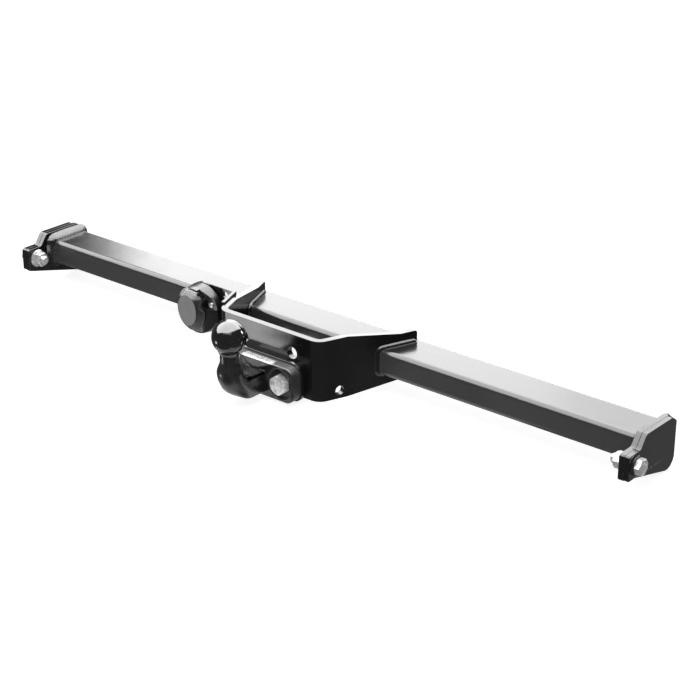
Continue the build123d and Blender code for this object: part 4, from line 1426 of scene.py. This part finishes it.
    def lid(self) -> None:
        """The sprung lid, with its notch, hollow, knuckle and the cover in front of the hinge."""
        piece = self.lid_drum().build("moulded_lid", 40)
        rear, ahead, hinge = self.lid_rear + 0.002, 0.100, (self.hinge_y, self.hinge_z)
        half = self.cover_half + 0.3 * MM
        notch = Shell().box((self.x - half, ahead, hinge[1] - 0.004), (self.x + half, rear, 0.0))
        swing = np.linspace(0, np.pi / 2, 13)
        y = np.append(hinge[0] + self.hinge_swing * np.cos(swing), [hinge[0], rear, rear])
        z = np.append(hinge[1] + self.hinge_swing * np.sin(swing), [0.0, 0.0, hinge[1]])
        sides = (self.lid_x - 0.03, self.lid_x + 0.03)
        ends = [np.stack([np.full(len(y), side), y, z], -1) for side in sides]
        above = Shell().add_rings(np.stack(ends))
        floor, lip, inner, outer = self.lid_rear - 0.007, self.lid_rear - 0.004, 0.0155, 0.0185
        rows = [(0, floor), (inner, floor), (inner, lip), (outer, lip), (outer, rear), (0, rear)]
        hollow = Shell().turn(self.at(0.0, self.mouth_x), rows, 96)
        x0, z0 = self.screw_spots()[0]
        bite = self.rod((x0 - 0.0015, z0 - 0.0008), self.bite, ahead, self.screw_floor)
        self.carve(piece, (notch, above, hollow, bite))
        more, width, left = self.cover(), 0.0074, self.x - 0.0076
        self.tube(more, left, 0.0013, width)
        low = (left, hinge[0] - self.knuckle, hinge[1] - 0.006)
        more.box(low, (left + width, hinge[0] + self.knuckle, hinge[1] - 0.0016))
        self.join(piece, more)
        self.round_off(piece, self.edge)
        self.hand_over(piece, Slot.PLASTIC, "socket_lid", self.palette.lid_plastic)

    def mouldings(self) -> None:
        """Housing, lid, insert and seal, and the rubber gasket, a little smaller than what it seals."""
        self.housing()
        self.lid()
        self.soften("contact_insert", Slot.PLASTIC, 0.0003)
        self.soften("lid_seal", Slot.RUBBER, 0.0004)
        inner, outer, deep, r = 0.0134, self.radius - 0.0028, self.plate_front - self.gasket_front, 0.0004
        rows = [(inner, r), (inner + r, 0), (outer - r, 0), (outer, r), (outer, deep - r), (outer - r, deep),
                (inner + r, deep), (inner, deep - r)]
        shell = Shell().turn(self.at(self.gasket_front), rows, 128, True)
        self.hand_over(shell.build("rubber_gasket"), Slot.RUBBER, "socket_gasket")

    def screws(self) -> None:
        """Three pan-head screws with six-lobed recesses, and their nuts behind the plate."""
        screws, nuts, columns, bend = Shell(), Shell(), 72, np.linspace(0, np.pi / 2, 6)
        thread, reach = Thread(diameter=0.005, pitch=0.0008), self.plate_rear - self.screw_floor + 0.005
        flat, rim, dome, floor, lobe = 0.0035, 0.0005, 0.0021, 0.0012, 0.00028
        lobes = 0.0017 + lobe * np.cos(6 * ring(columns))
        shank = thread.cut(tip=-reach, length=0.016, bevel=0.0007, columns=columns)
        rows = [(0.0, -reach), shank, (thread.diameter / 2, 0.0), (flat + 0.8 * MM, 0.0)]
        rows += zip(flat + MM * np.cos(bend), rim + dome * np.sin(bend))
        rows += [(lobes + 0.1 * MM, rim + dome), (lobes, floor), (0.0, floor - 0.3 * MM)]
        for x, z in self.screw_spots():
            screws.turn(Seat((x, self.screw_floor, z), FORWARD), rows, columns)
            nut = HexNut(thread, flats=0.008, height=0.004, columns=columns)
            nut.add_to(nuts, Seat((x, self.plate_rear, z), REARWARD))
        self.hand_over(screws.build("housing_screws"), Slot.ZINC, "socket_screws")
        self.hand_over(nuts.build("housing_nuts"), Slot.ZINC, "socket_screw_nuts")

    def plate_bolt(self, bar: BarLines, half_width: float) -> None:
        """The bolt and nut that hold the socket plate's leg to the left cheek.

        Args:
            bar: The bar's faces.
            half_width: Half the bracket's width at the bar's front.
        """
        sine, cosine, ahead, below = math.sin(SPLAY), math.cos(SPLAY), 0.058, 0.050
        out, plate, cheek = np.array([-cosine, -sine, 0.0]), 0.005, 0.010
        foot = np.array([ahead * sine / cosine - half_width, bar.low[1] - ahead, bar.high[2] - below])
        thread, bolts, nuts = Thread(diameter=0.012, pitch=0.00175), Shell(), Shell()
        bolt = HexBolt(thread, flats=0.018, head=0.0075, grip=0.031, threaded=0.024)
        bolt.add_to(bolts, Seat(tuple(foot + out * plate), tuple(out), UP))
        nut = HexNut(thread, flats=0.018, height=0.010)
        nut.add_to(nuts, Seat(tuple(foot - out * cheek), tuple(-out), UP))
        self.hand_over(bolts.build("leg_bolt"), Slot.ZINC, "socket_plate_bolt")
        self.hand_over(nuts.build("leg_nut"), Slot.ZINC, "socket_plate_nut")

    def contacts(self) -> None:
        """Thirteen tubular contacts in two rings."""
        shell, length, wide, bore, rear = Shell(), 0.0115, 0.0018, 0.0009, 0.1354
        rows = [(bore, 0), (wide - 0.0002, 0), (wide, 0.0002), (wide, length - 0.0004), (wide - 0.0004, length),
                (bore + 0.0003, length), (bore, length - 0.0004)]
        for circle, count in ((0.012, 9), (0.0055, 4)):
            for turn in (2 * math.pi * k / count for k in range(count)):
                spot = (self.mouth_x + circle * math.cos(turn), rear, self.z + circle * math.sin(turn))
                shell.turn(Seat(spot, FORWARD), rows, 24, True)
        self.hand_over(shell.build("brass_contacts"), Slot.BRASS, "contacts")

    def hinge(self) -> None:
        """The chamfered pin and the closing spring, a coil of eight turns round it."""
        r, length, edge, steel = 0.00125, 0.024, self.edge, self.palette.dark_steel
        rows = [(0, 0), (r - edge, 0), (r, edge), (r, length - edge), (r - edge, length), (0, length)]
        left = self.x + self.ear_starts[0]
        pin = Shell().turn(Seat((left, self.hinge_y, self.hinge_z), ACROSS, REARWARD), rows)
        start, end, wire, mean, coils = self.x + 0.0002, self.x + 0.0076, 0.0004, 0.00185, 8
        turns = np.linspace(0, 2 * np.pi * coils, coils * 28)
        x = start + wire + (end - start - 2 * wire) * turns / turns[-1]
        out = np.stack([0 * turns, np.cos(turns), np.sin(turns)], -1)
        path = np.stack([x, self.hinge_y + 0 * x, self.hinge_z + 0 * x], -1) + mean * out
        way = np.gradient(path, axis=0)
        side, angle = np.cross(way / np.linalg.norm(way, axis=1, keepdims=True), out), ring(12)[0][:, None]
        around = out[:, None] * np.cos(angle) + side[:, None] * np.sin(angle)
        coil = Shell().add_rings(path[:, None] + wire * around)
        self.hand_over(pin.build("steel_pin"), Slot.ZINC, "hinge_pin", steel)
        self.hand_over(coil.build("spring_coil"), Slot.ZINC, "lid_spring", steel)

    def grommet(self) -> None:
        """The ribbed rubber inlet: its radius falls to the rear and swings by a cosine."""
        length, pitch, start = 0.016, 0.0032, self.plate_rear - self.gasket_front
        wide, fall, rib, bore, bevel, edge = 0.0129, 0.0024, 0.0011, 0.0045, 0.0004, self.edge
        w, end = np.linspace(0.0, length - 0.0006, 60), start + length
        ribs = wide - fall * w / length - rib * (0.5 - 0.5 * np.cos(2 * np.pi * w / pitch))
        rows = [(bore, bevel), (bore + bevel, 0), (wide - edge, 0), (wide, edge), *zip(ribs, w + start),
                (0.0088, end), (bore + bevel, end), (bore, end - bevel)]
        shell = Shell().turn(self.at(self.gasket_front), rows, 96, True)
        self.hand_over(shell.build("ribbed_grommet"), Slot.RUBBER, "cable_grommet")


# Studio


@dataclass(frozen=True)
class SoftBox:
    """A rectangular light: its middle, the point it faces, its size and its radiance."""

    name: str
    place: Triple
    aim: Triple
    size: Pair
    radiance: float
    gloss_only: bool = True

    def hang(self) -> None:
        """Makes the light; its power is four times its radiance and area."""
        lamp = bpy.data.lights.new(self.name, "AREA")
        lamp.shape, lamp.size, lamp.size_y = "RECTANGLE", *self.size
        lamp.energy = 4 * self.radiance * lamp.size * lamp.size_y
        item = placed(self.name, lamp)
        item.location = self.place
        item.rotation_euler = (Vector(self.aim) - Vector(self.place)).to_track_quat("-Z", "Y").to_euler()
        item.visible_diffuse = not self.gloss_only
        item.visible_camera = False


def sheet(name: str, corners: Sequence[Triple], varying: dict[str, Any], desk: Desk,
          fixed: dict[str, Any]) -> bpy.types.Object:
    """Makes a flat piece of the studio from one polygon.

    Args:
        name: Its name.
        corners: Its corners.
        varying: Inputs of its shader that change over it.
        desk: The nodes that they come from.
        fixed: Inputs of its shader that are set to one value.

    Returns:
        The object.
    """
    mesh = bpy.data.meshes.new(name)
    mesh.from_pydata(corners, [], [tuple(range(len(corners)))])
    mesh.materials.append(desk.finish(varying, fixed))
    item = placed(name, mesh)
    return item


@dataclass(frozen=True)
class Card:
    """A flat white card that only shows in reflections: its corners and its radiance."""

    name: str
    corners: tuple[Triple, ...]
    radiance: float

    def hang(self) -> None:
        """Makes the card, which glows with a faint unevenness."""
        desk = Desk(self.name)
        glow = desk.blend(desk.noise(0.6, 1.0).ramp(0.3, 0.7), 0.9, 1.0)
        fixed = {"Base Color": (0, 0, 0, 1), "Emission Strength": self.radiance}
        card = sheet(self.name, self.corners, {"Emission Color": glow}, desk, fixed)
        card.visible_camera = card.visible_diffuse = card.visible_shadow = False


@dataclass(frozen=True)
class Studio:
    """Floor, lights and camera; the floor lies where the tow bar rests."""

    floor_z: float
    half: float = 14.0
    lights: tuple[Union[SoftBox, Card], ...] = (
        SoftBox("fill", (0.6, -1.2, 2.6), (0, 0.1, 0), (3.0, 2.4), 1.1, False),
        SoftBox("behind", (-1.87, 3.89, 1.74), (0, 0.2, -0.04), (3.76, 3.0), 3.5),
        SoftBox("behind_left", (-2.72, 3.43, 1.74), (0, 0.2, -0.04), (1.84, 3.0), 0.9),
        SoftBox("glint", (1.9, 3.4, 0.89), (0, 0, 0), (0.4, 0.9), 20.0),
        SoftBox("under_left", (-0.74, -0.62, -0.45), (-0.05, 0.08, -0.03), (0.24, 0.20), 4.0),
        SoftBox("under_right", (1.25, 1.35, -0.75), (0.57, 0.18, -0.05), (0.5, 0.4), 0.15),
        Card("ceiling", (
            (-4.69, 0.41, 2.0), (-4.08, -3.68, 2.0), (1.10, -1.51, 2.0), (1.58, 0.36, 2.0),
            (1.38, 4.5, 2.0)), 8.0),
        Card("arm_card", ((0.40, 0.6, -0.60), (0.70, 0.6, -0.60), (0.70, 0.6, -0.40), (0.40, 0.6, -0.40)), 2.4),
        Card("low_card", (
            (-0.35, -0.15, -0.30), (0.25, -0.15, -0.30), (0.25, 0.35, -0.30), (-0.35, 0.35, -0.30)), 0.6),
    )

    def floor(self) -> None:
        """A wide pale floor, left out of reflections as under a light tent."""
        desk = Desk("pale_floor")
        tint = desk.blend(desk.noise(3.0, 2.0), 0.5, 0.52)
        corners = [(self.half * x, self.half * y, self.floor_z) for x, y in ((-1, -1), (1, -1), (1, 1), (-1, 1))]
        fixed = {"Roughness": 0.9, "Emission Color": (1, 1, 1, 1), "Emission Strength": 0.86}
        floor = sheet("pale_floor", corners, {"Base Color": tint}, desk, fixed)
        floor.visible_glossy = floor.visible_shadow = False

    def light(self) -> None:
        """Dim even surroundings and the soft boxes."""
        world = bpy.data.worlds.new("studio")
        bpy.context.scene.world = world
        world.use_nodes = True
        inputs = world.node_tree.nodes["Background"].inputs
        inputs["Color"].default_value, inputs["Strength"].default_value = (1, 1, 1, 1), 0.12
        for light in self.lights:
            light.hang()

    def camera(self) -> None:
        """The camera at the photograph's angle, with its lens from a fit to the ball and the bar."""
        lens = bpy.data.cameras.new("view")
        lens.lens, lens.sensor_width, lens.clip_start = 93.71, 36.0, 0.05
        item = placed("view", lens)
        item.location = (1.62267, -1.68470, 1.02269)
        item.rotation_euler = (math.radians(90 - 24.08), 0.0, math.radians(39.78))
        bpy.context.scene.camera = item


def main() -> None:
    """Builds and dresses the tow bar piece by piece, then sets the studio round it."""
    logging.basicConfig(level=logging.INFO, format="%(name)s: %(message)s")
    palette = Palette()
    for part in frame["record"]["subparts"]:
        palette.dress(frame["nodes"][part["node"]], Slot(part["material_slot"]))
    bar, beads, fasteners, socket = BarLines(), WeldBeads(palette), Fasteners(palette), Socket(palette)
    Plates(palette).build()
    beads.end_beads(bar)
    beads.cheek_beads(bar)
    ForgedBall(palette).build()
    fasteners.ears()
    fasteners.flange()
    socket.mouldings()
    socket.screws()
    socket.plate_bolt(bar, beads.half_width)
    socket.contacts()
    socket.hinge()
    socket.grommet()
    studio = Studio(CAD_BOX[0][2] - 0.0002)
    bpy.context.scene.view_settings.view_transform = "Standard"
    studio.floor()
    studio.light()
    studio.camera()


if __name__ == "__main__":
    main()
